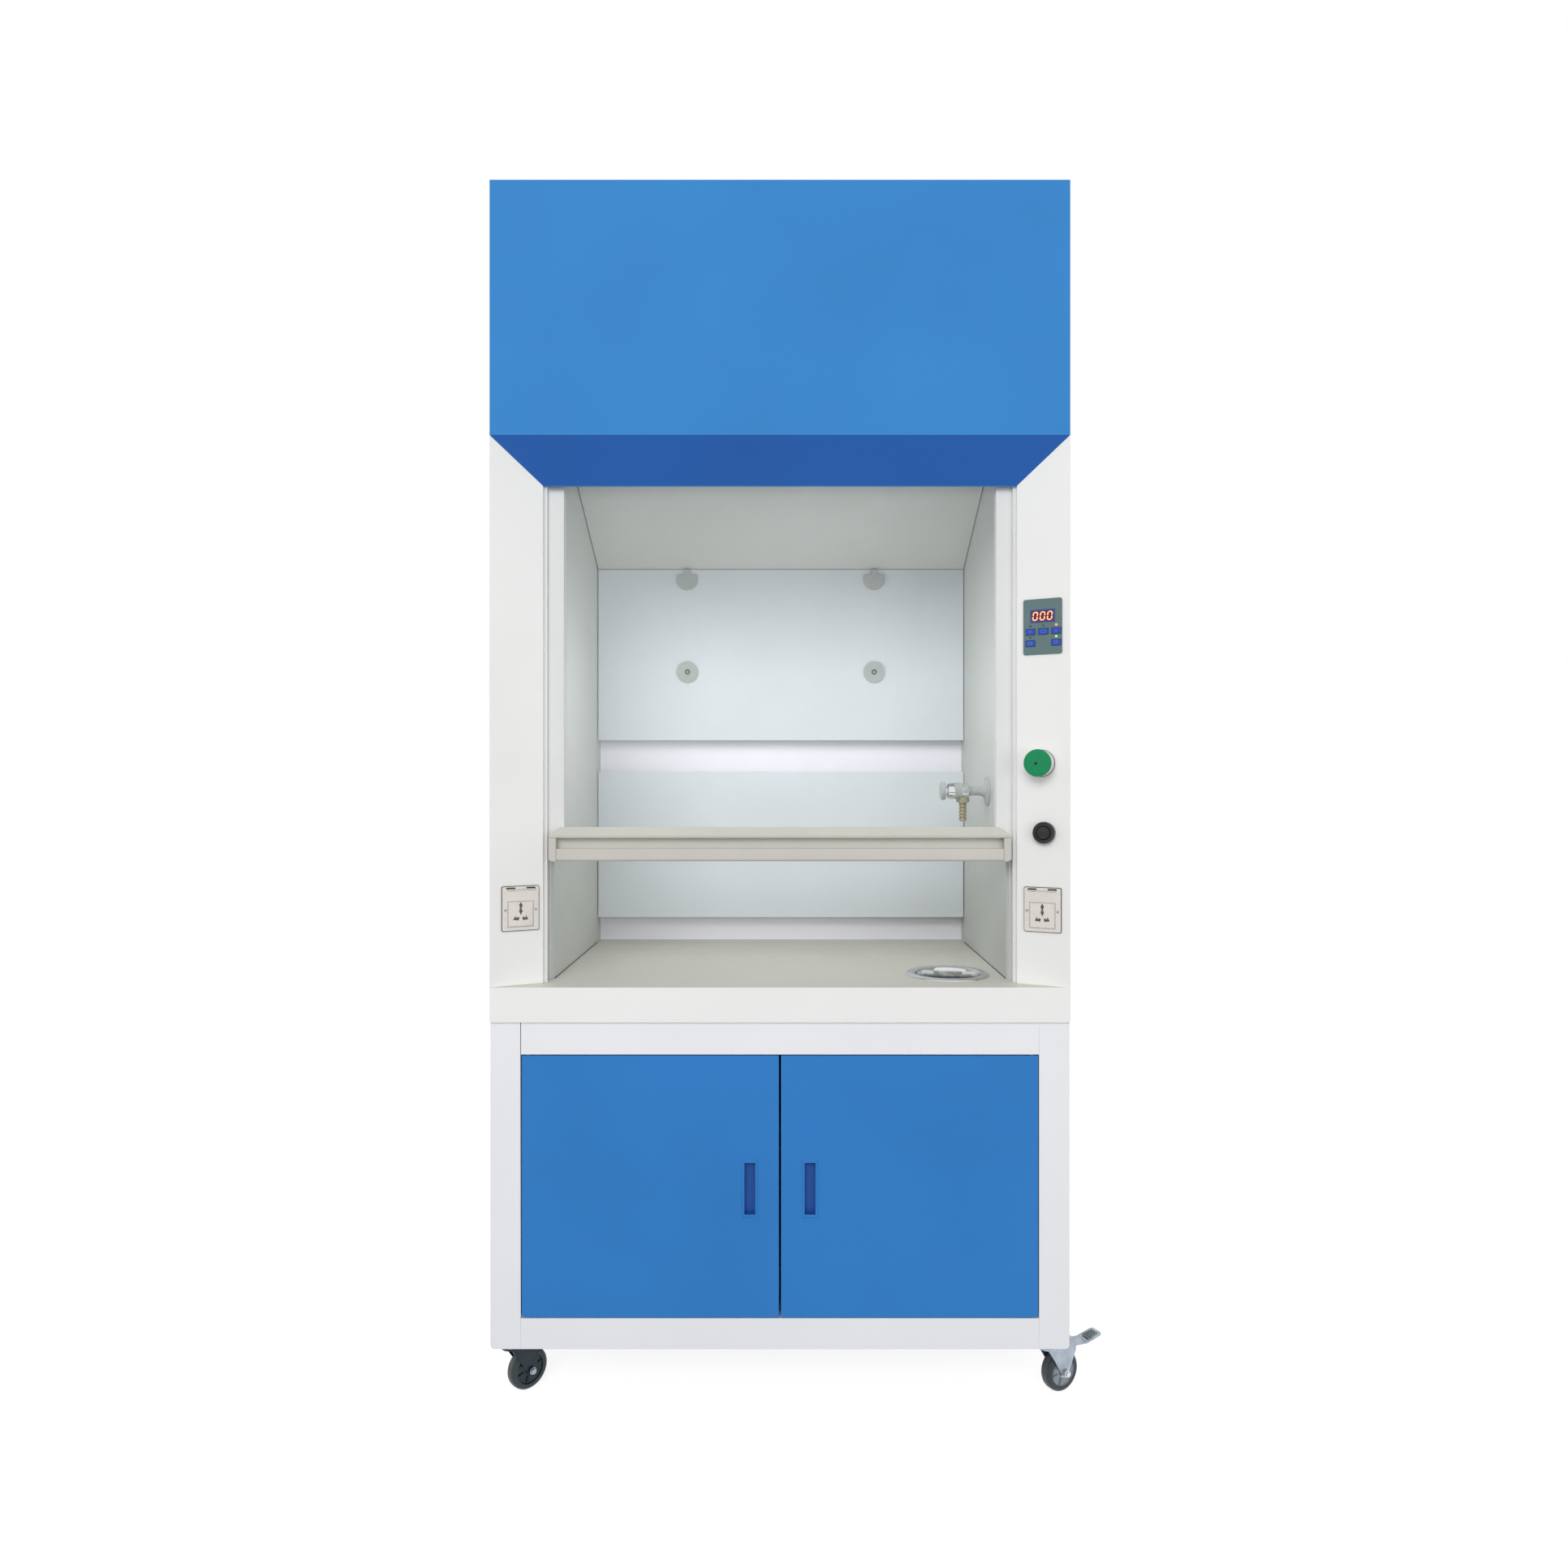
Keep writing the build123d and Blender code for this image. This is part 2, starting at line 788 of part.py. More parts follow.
def water_valve():
    """Valve behind the right post, its pipe to the tap and its pipe from the inlet stub at the back."""
    place = splay_place(water_knob_x, water_knob_z, 1)
    bore = splay_rod(place, stem_radius + running, -stem_length - 2, 0)
    valve = splay_rod(place, valve_radius, -valve_length, -sheet) - bore
    x1, y1 = valve_branch(1)
    x2, y2 = valve_branch(2)
    y = front + tap_depth
    low = water_knob_z - valve_radius + 4
    to_tap = [
        (x2, y2, low),
        (x2, y2, water_outlet_z),
        (x2, y, water_outlet_z),
        (x2, y, tap_z),
        (chamber_half, y, tap_z),
    ]
    from_back = [(x1, y1, low), (x1, y1, water_inlet_z), (x1, rear, water_inlet_z)]
    # The pipes end inside the valve body, so only the parts outside it are kept
    lines = [pipe_run(to_tap) - valve - bore, pipe_run(from_back) - valve - bore]
    stub = rod(stub_radius, (x1, rear, water_inlet_z), (x1, rear + stub_reach, water_inlet_z))
    return [valve] + lines + [stub]


# Controls on the posts
def control_panel():
    """Panel body with button pockets and a display recess, and the switch behind the black knob."""
    place = splay_place(panel_x, panel_z, 1)
    face = splay_box(place, panel_size, 0, panel_proud)
    face = round_corners(face, place, panel_corner)
    body = face + splay_box(place, panel_back, -panel_back[2], 0)
    body -= splay_box(place, display_size, panel_proud - display_deep, panel_proud + 1, y=display_up)
    pocket = [size + 2 * button_clear for size in button_size]
    for x, y in button_places():
        body -= splay_box(place, pocket, panel_proud - button_pocket, panel_proud + 1, x, y)
    switch_place = splay_place(black_knob_x, black_knob_z, 1)
    switch = splay_rod(switch_place, switch_radius, -switch_length, -sheet)
    switch -= splay_rod(switch_place, stem_radius + running, -stem_length - 2, 0)
    return [body, switch]


def button_places():
    """Centres of the five buttons on the panel: three in the first row, the outer two in the second."""
    first = [(x, button_rows[0]) for x in button_columns]
    second = [(x, button_rows[1]) for x in (button_columns[0], button_columns[-1])]
    return first + second


def display_window():
    """Window of the display, let into the panel."""
    place = splay_place(panel_x, panel_z, 1)
    return splay_box(place, display_size, panel_proud - display_deep, panel_proud, y=display_up)


def button(index):
    """One push button, which stands in its pocket with room to travel."""
    place = splay_place(panel_x, panel_z, 1)
    x, y = button_places()[index]
    solid = splay_box(place, button_size, panel_proud - button_deep, panel_proud + button_proud, x, y)
    top = solid.faces().sort_by(lambda face: face.center().dot(place.z_dir))[-1]
    return chamfer(top.edges(), 1)


def knob(x, z, radius, length, dish):
    """Round knob on a stem; dish is the depth of the hollow in its face."""
    place = splay_place(x, z, 1)
    solid = splay_rod(place, radius, knob_lift, length)
    rim = solid.edges().filter_by(GeomType.CIRCLE).sort_by(lambda edge: edge.center().dot(place.z_dir))[-1]
    solid = fillet(rim, 2)
    if dish:
        solid -= splay_rod(place, knob_hollow * radius, length - dish, length + 1)
    return solid + splay_rod(place, stem_radius, -stem_length, knob_lift)


def socket(side):
    """Socket plate with a raised insert, shallow shuttered holes, its back box and the lid's hinge."""
    place = splay_place(*(socket_right if side > 0 else socket_left), side)
    plate = splay_box(place, socket_size, 0, socket_proud)
    plate = round_corners(plate, place, socket_corner)
    top = socket_proud + insert_proud
    plate += splay_box(place, (insert_size, insert_size), socket_proud, top, y=-insert_drop)
    plate += splay_box(place, socket_back, -socket_back[2], 0)
    centre = -insert_drop
    plate -= splay_rod(place, 2.6, top - 3, top + 1, 0, centre + 10)
    plate -= splay_box(place, (2.4, 15), top - 3, top + 1, 0, centre + 6)
    for x, turn in ((-8, 15), (8, -15)):
        spot = place * Pos(x, centre - 9, top - 1) * Rot(0, 0, turn)
        plate -= spot * Box(7.5, 2.6, 4)
        plate -= spot * Pos(-0.3 * x, 0, 0) * Box(2.4, 5.5, 4)
    axis_height = socket_proud + lid_knuckle + clear
    for x in (-ear_x, ear_x):
        plate += splay_box(place, (ear_length, 2 * lid_knuckle), socket_proud, axis_height, x, lid_hinge_up)
        plate += place * Pos(x, lid_hinge_up, axis_height) * Rot(0, 90, 0) * Cylinder(lid_knuckle, ear_length)
    pin = 2 * ear_x - ear_length + 6
    plate += place * Pos(0, lid_hinge_up, axis_height) * Rot(0, 90, 0) * Cylinder(lid_pin, pin)
    return plate


def socket_lid(side):
    """Clear lid over a socket, with one knuckle on the hinge pin."""
    place = splay_place(*(socket_right if side > 0 else socket_left), side)
    low = socket_proud + clear
    high = low + lid_height
    axis_height = socket_proud + lid_knuckle + clear
    top_edge = lid_hinge_up - lid_knuckle - 1
    middle = top_edge - lid_size[1] / 2
    lid = splay_box(place, lid_size, low, high, y=middle)
    inner = (lid_size[0] - 2 * lid_wall, lid_size[1] - 2 * lid_wall)
    lid -= splay_box(place, inner, low - 1, high - lid_wall, y=middle)
    lid += splay_box(place, (lid_tab, 1.5 * lid_knuckle), axis_height, axis_height + lid_wall, y=top_edge + 1)
    axis = place * Pos(0, lid_hinge_up, axis_height) * Rot(0, 90, 0)
    return lid + axis * Cylinder(lid_knuckle, lid_tab) - axis * Cylinder(lid_pin + running, 2 * lid_tab)


# Sash and balance
def sash_guides():
    """Two strips on each side, with the sash running between them."""
    front_strip = sash_front_y - guide_clear - guide_thick
    rear_strip = sash_rear_y + guide_clear
    pieces = []
    for y in (front_strip, rear_strip):
        pieces += pair(block(guide_inner, guide_outer, y, y + guide_thick, worktop_top, guide_top))
    return pieces


def glass_groove():
    """Depth range of the groove that holds the glass."""
    middle = (sash_front_y + sash_rear_y) / 2
    half = glass_thick / 2 + groove_clear
    return middle - half, middle + half


def sash_frame():
    """Two stiles and two rails, grooved for the glass, with the clamps that grip the belts."""
    top = sash_bottom + sash_height
    stile = block(stile_inner, sash_half, sash_front_y, sash_rear_y, sash_bottom, top)
    groove = block(stile_inner - 1, stile_inner + groove_depth, *glass_groove(), sash_bottom + 8, top - 8)
    stile -= groove
    run = belt_y - belt_pitch
    outer = belt_inner + belt_width
    jaws = []
    for y0, y1 in clamp_jaws(run):
        jaws += pair(block(sash_half, outer, y0, y1, sash_clamp_z, sash_clamp_z + clamp_height))
    low = block(-stile_inner, stile_inner, sash_front_y, sash_rear_y, sash_bottom, sash_bottom + bottom_rail)
    high = block(-stile_inner, stile_inner, sash_front_y, sash_rear_y, top - top_rail, top)
    cut = block(
        -stile_inner - 1,
        stile_inner + 1,
        *glass_groove(),
        sash_bottom + bottom_rail - groove_depth,
        top - top_rail + groove_depth,
    )
    return pair(stile) + [low - cut, high - cut] + jaws


def clamp_jaws(run):
    """Depth ranges of the two jaws that grip a belt run from in front and behind."""
    near = belt_thick / 2 + clear
    return (run - near - 4, run - near), (run + near, run + near + 4)


def sash_glass():
    """Safety glass, seated in the grooves of the frame."""
    middle = (sash_front_y + sash_rear_y) / 2
    reach = groove_depth - groove_clear
    half = stile_inner + reach
    low = sash_bottom + bottom_rail - reach
    high = sash_bottom + sash_height - top_rail + reach
    return block(-half, half, middle - glass_thick / 2, middle + glass_thick / 2, low, high)


def sash_handle():
    """Extruded pull bar with a finger channel and a sloped top, hipped at its ends, and two end caps."""
    y = sash_front_y
    nose = y - handle_reach
    z = sash_bottom
    lip = z + bottom_rail
    profile = [
        (y, z),
        (y, lip),
        (nose, lip),
        (nose + channel_deep, lip - channel_roof),
        (nose + channel_deep, z + channel_low),
        (nose + grip_step, z + channel_low),
        (nose + grip_step, z + grip_round[1]),
        (nose + grip_round[0], z),
    ]
    bar = side_prism(profile, handle_cap - handle_half, handle_half - handle_cap)
    slope = [(y, lip), (y, z + handle_slope[1]), (nose, z + handle_slope[0]), (nose, lip)]
    top = side_prism(slope, -handle_half, handle_half)
    end = handle_half + handle_hip[1]
    hip = [(handle_half, nose), (end, nose), (end, y + 1), (handle_half - handle_hip[0], y)]
    cutter = plan_prism(hip, z, z + 2 * bottom_rail)
    bar = bar + (top - cutter - mirrored(cutter))
    cap = block(handle_half - handle_cap, handle_half, nose, y, z, lip - clear)
    corner = cap.edges().filter_by(Axis.Y).group_by(Axis.Z)[0].sort_by(Axis.X)[-1]
    return [bar] + pair(chamfer(corner, cap_chamfer))


def belt_loop(thickness_out, thickness_in):
    """Outline of a belt loop on the right side."""
    span = pulley_top_z - pulley_low_z
    middle = (pulley_top_z + pulley_low_z) / 2
    outer = SlotCenterToCenter(span, 2 * (belt_pitch + thickness_out), rotation=90)
    inner = SlotCenterToCenter(span, 2 * (belt_pitch - thickness_in), rotation=90)
    place = Plane(origin=(belt_inner, belt_y, middle), x_dir=(0, 1, 0), z_dir=(1, 0, 0))
    return extrude(place * (outer - inner), belt_width)


def drive_belts():
    """Closed belt on each side, which joins the sash to its counterweight."""
    return pair(belt_loop(belt_thick / 2, belt_thick / 2))


def pulley(z, bore):
    """Flanged belt pulley on the right side."""
    rim = belt_pitch - belt_thick / 2 - clear
    x0 = belt_inner - clear
    x1 = belt_inner + belt_width + clear
    solid = rod(rim, (x0, belt_y, z), (x1, belt_y, z))
    solid += rod(pulley_flange, (x0 - pulley_flange_thick, belt_y, z), (x0, belt_y, z))
    solid += rod(pulley_flange, (x1, belt_y, z), (x1 + pulley_flange_thick, belt_y, z))
    return solid - rod(bore, (x0 - 10, belt_y, z), (x1 + 10, belt_y, z))


def pulley_shaft():
    """Cross shaft that ties both sides together, with its two pulleys."""
    shaft = rod(shaft_radius, (-shaft_half, belt_y, pulley_top_z), (shaft_half, belt_y, pulley_top_z))
    return [shaft] + pair(pulley(pulley_top_z, shaft_radius + running))


def idler_pulleys():
    """Lower pulleys of the two belts."""
    return pair(pulley(pulley_low_z, idler_pin + running))


def balance_mounts():
    """Bearing blocks of the cross shaft, idler pins, and the guide rods of the counterweights."""
    edge = half_width - sheet
    size = 2 * shaft_radius
    z = pulley_top_z
    bearing = block(bearing_face, edge, belt_y - size, belt_y + size, z - size, z + size)
    bearing -= rod(shaft_radius + running, (bearing_face - 1, belt_y, z), (shaft_half + 2, belt_y, z))
    wall = chamber_half + liner
    pin_end = belt_inner + belt_width + clear + pulley_flange_thick
    pin = rod(idler_pin, (wall, belt_y, pulley_low_z), (pin_end, belt_y, pulley_low_z))
    shoulder = belt_inner - 2 * clear - pulley_flange_thick
    pin += rod(idler_pin + 4, (wall, belt_y, pulley_low_z), (shoulder, belt_y, pulley_low_z))
    x = weight_inner + weight_thick / 2
    y = front + weight_rod_depth
    foot = weight_top - weight_height - sash_travel_up - 5
    bracket = block(x - 6, edge, y - 6, y + 6, foot - 10, foot)
    guide = rod(weight_rod, (x, y, foot), (x, y, height - sheet))
    return pair(bearing) + pair(pin) + pair(bracket + guide)


def counterweights():
    """Steel weight on each side, bored for its guide rod, with jaws on the rear belt run."""
    x1 = weight_inner + weight_thick
    y0 = front + weight_front
    y1 = y0 + weight_length
    solid = block(weight_inner, x1, y0, y1, weight_top - weight_height, weight_top)
    x = weight_inner + weight_thick / 2
    y = front + weight_rod_depth
    solid -= rod(weight_rod + clear, (x, y, weight_top - weight_height - 1), (x, y, weight_top + 1))
    jaws = []
    for jaw0, jaw1 in clamp_jaws(belt_y + belt_pitch):
        jaws += pair(block(belt_inner, weight_inner, jaw0, jaw1, weight_top - clamp_height, weight_top))
    return pair(solid) + jaws


# Doors
def door():
    """Right door: front pan, back sheet, hinge bosses and the recessed pull."""
    y0 = base_front
    y1 = y0 + door_thick
    left, right, low, high = door_inner + sheet, door_outer - sheet, door_bottom + sheet, door_top - sheet
    skin = round_low_corner(block(door_inner, door_outer, y0, y1, door_bottom, door_top), door_corner)
    skin -= round_low_corner(block(left, right, y0 + sheet, y1 + 1, low, high), door_corner - sheet)
    plate = round_low_corner(block(left, right, y1 - sheet, y1, low, high), door_corner - sheet)
    x = door_outer - pivot_side
    y = y0 + pivot_front
    boss = pivot_length + 2 * sheet
    for z0, z1 in ((low, low + boss), (high - boss, high)):
        skin += block(x - boss_half, right, y0 + sheet, y0 + 3 * pivot_front, z0, z1)
    bore = pivot_radius + running
    skin -= rod(bore, (x, y, door_bottom - 1), (x, y, door_bottom + pivot_length + 1))
    skin -= rod(bore, (x, y, door_top - pivot_length - 1), (x, y, door_top + 1))
    wall = 2 * pull_wall + 2 * clear
    skin -= pull_box((pull_hole[0] + wall, pull_hole[1] + wall), y0 - 1, y0 + sheet + 1)
    return [skin, plate, door_pull()]


def round_low_corner(solid, radius):
    """Rounds the lower outer corner of a door."""
    return fillet(solid.edges().filter_by(Axis.Y).group_by(Axis.Z)[0].sort_by(Axis.X)[-1], radius)


def pull_box(size, y0, y1):
    """Box about the middle of the pull."""
    half_x, half_z = size[0] / 2, size[1] / 2
    return block(pull_x - half_x, pull_x + half_x, y0, y1, pull_z - half_z, pull_z + half_z)


def door_pull():
    """Recessed cup with a raised bezel."""
    y0 = base_front
    wall = 2 * pull_wall
    cup = pull_box((pull_hole[0] + wall, pull_hole[1] + wall), y0, y0 + pull_deep + pull_wall)
    bezel = pull_box(pull_bezel, y0 - pull_proud, y0)
    cup += chamfer(bezel.faces().sort_by(Axis.Y)[0].edges(), 1)
    return cup - pull_box(pull_hole, y0 - 2 * pull_proud, y0 + pull_deep)


def hinge_pins():
    """Upper and lower pivot pins of both doors."""
    x = door_outer - pivot_side
    y = base_front + pivot_front
    low = rod(pivot_radius, (x, y, door_bottom - door_gap), (x, y, door_bottom + pivot_length))
    high = rod(pivot_radius, (x, y, door_top - pivot_length), (x, y, door_top + door_gap))
    return pair(low) + pair(high)


# Blower and duct
def scroll_profile(grow, top):
    """Spiral outline of the blower in Y and Z, with its straight throat up to a height."""
    growth = math.log(scroll_end / scroll_start) / (360 - tongue_angle)
    steps = 12
    points = []
    for step in range(steps + 1):
        angle = tongue_angle + (360 - tongue_angle) * step / steps
        radius = scroll_start * math.exp(growth * (angle - tongue_angle)) + grow
        turn = math.radians(angle)
        points.append((scroll_centre + radius * math.cos(turn), blower_z + radius * math.sin(turn)))
    tongue = scroll_centre + scroll_start * math.cos(math.radians(tongue_angle)) - grow
    last = points[-1]
    throat = Polyline(last, (last[0], top), (tongue, top), (tongue, points[0][1] + tongue_land), points[0])
    return make_face([Spline(*points), *throat.edges()])


def blower_housing():
    """Spiral wrapper on two feet, with an open throat, and two side plates, one with the inlet bell."""
    half = blower_width / 2
    room = blower_width - 2 * sheet
    outline = scroll_profile(sheet, throat_top)
    wrapper = extrude(Plane.YZ.offset(sheet - half) * outline, room)
    inner = extrude(Plane.YZ.offset(-half) * scroll_profile(0, throat_top + 1), blower_width)
    floor = ceiling_bottom + liner
    y0, y1 = scroll_centre - foot_half, scroll_centre + foot_half
    feet = []
    for x in (foot_inset - half, half - foot_inset - foot_thick):
        feet.append(block(x, x + foot_thick, y0, y1, floor, blower_z - scroll_start / 2))
    turn = math.radians(tongue_angle)
    y = scroll_centre + scroll_start * math.cos(turn) - sheet
    z = blower_z + scroll_start * math.sin(turn) + sheet
    bead = rod(tongue_bead, (sheet - half, y, z), (half - sheet, y, z))
    wrapper = wrapper + feet + bead - inner
    middle = (scroll_centre, blower_z)
    left = extrude(Plane.YZ.offset(-half) * outline, sheet)
    left -= rod(1.5 * shaft_radius, (-half - 1, *middle), (-half + 2 * sheet, *middle))
    right = extrude(Plane.YZ.offset(half - sheet) * outline, sheet)
    right += rod(inlet_radius + inlet_wall, (half, *middle), (half + inlet_reach, *middle))
    right -= rod(inlet_radius, (half - 2 * sheet, *middle), (half + inlet_reach + 1, *middle))
    return [wrapper, left, right]


def blower_motor():
    """Finned motor on the side of the housing, with a flange and a foot."""
    half = blower_width / 2
    middle = (scroll_centre, blower_z)
    start = half + motor_gap
    end = start + motor_length
    motor = rod(motor_radius, (-end, *middle), (-start, *middle))
    motor += rod(motor_flange, (-start, *middle), (-half, *middle))
    for index in range(fin_count):
        x = -start - (index + 1) * fin_pitch
        motor += rod(motor_radius + fin_thick, (x - fin_thick, *middle), (x, *middle))
    x = -start - motor_length / 2
    y0, y1 = scroll_centre - motor_foot[1], scroll_centre + motor_foot[1]
    motor += block(x - motor_foot[0], x + motor_foot[0], y0, y1, ceiling_bottom + liner, blower_z)
    return motor - rod(shaft_radius + running, (motor_gap - end, *middle), (1 - half, *middle))


def impeller():
    """Forward-curved blower wheel on its shaft: back plate, hub, blades and front ring."""
    half = impeller_width / 2
    middle = (scroll_centre, blower_z)
    plate = rod(impeller_radius, (-half, *middle), (ring_thick - half, *middle))
    ring = rod(impeller_radius, (half - ring_thick, *middle), (half, *middle))
    ring -= rod(impeller_inner, (half - ring_thick - 1, *middle), (half + 1, *middle))
    hub = rod(2 * shaft_radius, (ring_thick - half, *middle), (hub_length - half, *middle))
    shaft = rod(shaft_radius, (-blower_width / 2 - motor_length / 2, *middle), (-half, *middle))
    inner = impeller_inner + 1
    outer = impeller_radius - 1
    mid = (inner + outer) / 2
    hook = blade_hook + blade_thick
    blade = make_face(
        [
            ThreePointArc((inner, 0), (mid, -blade_bow), (outer, blade_hook)),
            Line((outer, blade_hook), (outer, hook)),
            ThreePointArc((outer, hook), (mid, blade_thick - blade_bow), (inner, blade_thick)),
            Line((inner, blade_thick), (inner, 0)),
        ]
    )
    place = Plane(origin=(ring_thick - half, *middle), x_dir=(0, 1, 0), z_dir=(1, 0, 0))
    length = impeller_width - 2 * ring_thick
    blades = [extrude(place * spot * blade, length) for spot in PolarLocations(0, blade_count)]
    return [plate, ring, hub, shaft] + blades


def duct_collar():
    """Round spigot for the duct, with its flange and the transition from the blower's throat."""
    throat = scroll_end - scroll_start * math.cos(math.radians(tongue_angle))
    shapes = []
    for inset in (0, duct_wall):
        size = (blower_width - 2 * inset, throat + 2 * sheet - 2 * inset)
        low = Plane.XY.offset(throat_top) * Rectangle(*size)
        high = Plane.XY.offset(throat_top + transition_length) * Circle(duct_radius - inset)
        shapes.append(loft(Sketch() + [low, high]))
    top = height + duct_height
    pipe = rod(duct_radius, (0, 0, throat_top + transition_length), (0, 0, top))
    pipe += rod(duct_flange, (0, 0, height), (0, 0, height + duct_wall))
    pipe -= rod(duct_radius - duct_wall, (0, 0, throat_top), (0, 0, top + 1))
    return pipe + (shapes[0] - shapes[1])


# Casters
def caster_corners():
    """Name, place, heading of the trail and brake of each caster."""
    y = rear - caster_inset
    return [
        ("front_left", -caster_x, -y, front_left_heading, False),
        ("front_right", caster_x, -y, front_right_heading, True),
        ("rear_left", -caster_x, y, front_right_heading + 180, True),
        ("rear_right", caster_x, y, front_left_heading + 180, False),
    ]


def caster_plate(place):
    """Top plate, ball race housing and kingpin."""
    top = base_bottom
    solid = block(-plate_size / 2, plate_size / 2, -plate_size / 2, plate_size / 2, top - plate_thick, top)
    low = fork_top + clear
    race = rod(race_radius, (0, 0, low), (0, 0, top - plate_thick))
    pin = rod(kingpin_radius, (0, 0, fork_top - crown_thick - clear), (0, 0, low))
    head = rod(kingpin_radius + 3, (0, 0, fork_top - crown_thick - 3), (0, 0, fork_top - crown_thick - clear))
    return Pos(*place) * (solid + race + pin + head)


def caster_fork(brake):
    """Swivel fork: crown, tapered legs and axle."""
    low = fork_top - crown_thick
    reach = pedal_pivot[0] + leg_inset if brake else fork_reach
    back = 2 - race_radius / 2
    crown = rod(race_radius, (0, 0, low), (0, 0, fork_top))
    crown += block(0, reach, -leg_outer, leg_outer, low, fork_top)
    leg = [
        (back, fork_top),
        (reach, fork_top),
        (reach, pedal_pivot[1] - leg_inset),
        (caster_trail + leg_foot, wheel_radius),
        (caster_trail - leg_foot, wheel_radius),
        (back, low - crown_thick),
    ]
    side = front_prism(leg, leg_inner, leg_outer)
    side += rod(leg_foot, (caster_trail, leg_inner, wheel_radius), (caster_trail, leg_outer, wheel_radius))
    nut = leg_outer + leg_thick
    side += rod(axle_nut, (caster_trail, leg_outer, wheel_radius), (caster_trail, nut, wheel_radius))
    fork = crown + side + mirror(side, about=Plane.XZ)
    axle = (caster_trail, -leg_outer, wheel_radius), (caster_trail, leg_outer, wheel_radius)
    fork += rod(axle_radius, *axle)
    if brake:
        x, z = pedal_pivot
        fork += rod(pedal_pin, (x, -leg_outer, z), (x, leg_outer, z))
    return fork - rod(kingpin_radius + running, (0, 0, low - 1), (0, 0, fork_top + 1))


def caster_wheel():
    """Wheel with rounded shoulders, a dished web and a bored hub."""
    half = wheel_width / 2
    wheel = rod(wheel_radius, (0, -half, 0), (0, half, 0))
    wheel = fillet(wheel.edges().filter_by(GeomType.CIRCLE), tyre_round)
    for side in (-1, 1):
        floor = side * (half - dish_deep)
        dish = rod(dish_radius, (0, floor, 0), (0, side * (half + 1), 0))
        wheel -= dish - rod(dish_inner, (0, floor - side, 0), (0, side * (half + 2), 0))
    wheel += rod(hub_radius, (0, -half - 1, 0), (0, half + 1, 0))
    wheel -= rod(axle_radius + running, (0, -half - 2, 0), (0, half + 2, 0))
    return Pos(caster_trail, 0, wheel_radius) * wheel


def brake_pedal():
    """Foot lever that pivots at the back of the fork, with a shoe over the wheel."""
    x, z = pedal_pivot
    width_half = leg_inner - 1
    pedal = rod(pedal_pin + pedal_thick, (x, -width_half, z), (x, width_half, z))
    line = [(x, z - 1), (x + pedal_sag, z - 1 - pedal_drop), (pedal_tip, z)]
    plate = front_prism(folded(line, pedal_thick), -width_half, width_half)
    tread = RectangleRounded(2 * (pedal_tip - x), 2 * width_half, width_half / 2)
    pedal += plate & (Pos(x, 0, z / 2) * extrude(tread, z))
    pedal += block(x - 1, x + 7, -width_half, width_half, z - 8, z - 1)
    return pedal - rod(pedal_pin + running, (x, -leg_outer, z), (x, leg_outer, z))


def build():
    """Write every node."""
    os.makedirs("parts", exist_ok=True)
    save("base_front_frame", base_front_frame())
    save("base_panels", base_panels())
    save("sill", sill())
    save("worktop", worktop())
    save("side_panels", side_panels())
    save("rear_panel", rear_panel())
    save("post_left", post(-1))
    save("post_right", post(1))
    save("fascia", fascia())
    save("top_panel", top_panel())
    save("duct_collar", duct_collar())
    save("chamber_liner", chamber_liner())
    save("ceiling_panel", ceiling_panel())
    save("baffle_top", baffle_top())
    save("baffle_middle", flat_baffle(middle_baffle))
    save("baffle_lower", flat_baffle(lower_baffle))
    save("baffle_fixings", baffle_fixings())
    save("ceiling_lamp", ceiling_lamp())
    save("sink_cup", sink_cup())
    save("drain_trap", drain_trap())
    save("water_tap", water_tap())
    save("water_valve", water_valve())
    save("control_panel", control_panel())
    save("display_window", display_window())
    save("socket_outlets", [socket(1), socket(-1)])
    save("sash_guides", sash_guides())
    save("balance_mounts", balance_mounts())
    save("drive_belts", drive_belts())
    save("hinge_pins", hinge_pins())
    save("blower_housing", blower_housing())
    save("blower_motor", blower_motor())
    save("sash_frame", sash_frame())
    save("sash_glass", sash_glass())
    save("sash_handle", sash_handle())
    save("counterweights", counterweights())
    save("pulley_shaft", pulley_shaft())
    save("idler_pulleys", idler_pulleys())
    right_door = door()
    save("door_right", right_door)
    save("door_left", [mirrored(piece) for piece in right_door])
    save("water_knob", knob(water_knob_x, water_knob_z, water_knob_radius, water_knob_length, 0))
    save("black_knob", knob(black_knob_x, black_knob_z, black_knob_radius, black_knob_length, 4))
    for index in range(len(button_places())):
        save(f"button_{index + 1}", button(index))
    save("socket_lid_right", socket_lid(1))
    save("socket_lid_left", socket_lid(-1))
    save("impeller", impeller())
    save("caster_plates", [caster_plate((x, y, 0)) for name, x, y, heading, brake in caster_corners()])
    for name, x, y, heading, brake in caster_corners():
        place = Pos(x, y, 0) * Rot(0, 0, heading)
        save(f"caster_fork_{name}", place * caster_fork(brake))
        save(f"caster_wheel_{name}", place * caster_wheel())
        if brake:
            save(f"brake_pedal_{name}", place * brake_pedal())


build()
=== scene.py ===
import json
import math

import bmesh
import bpy
from mathutils import Matrix, Vector


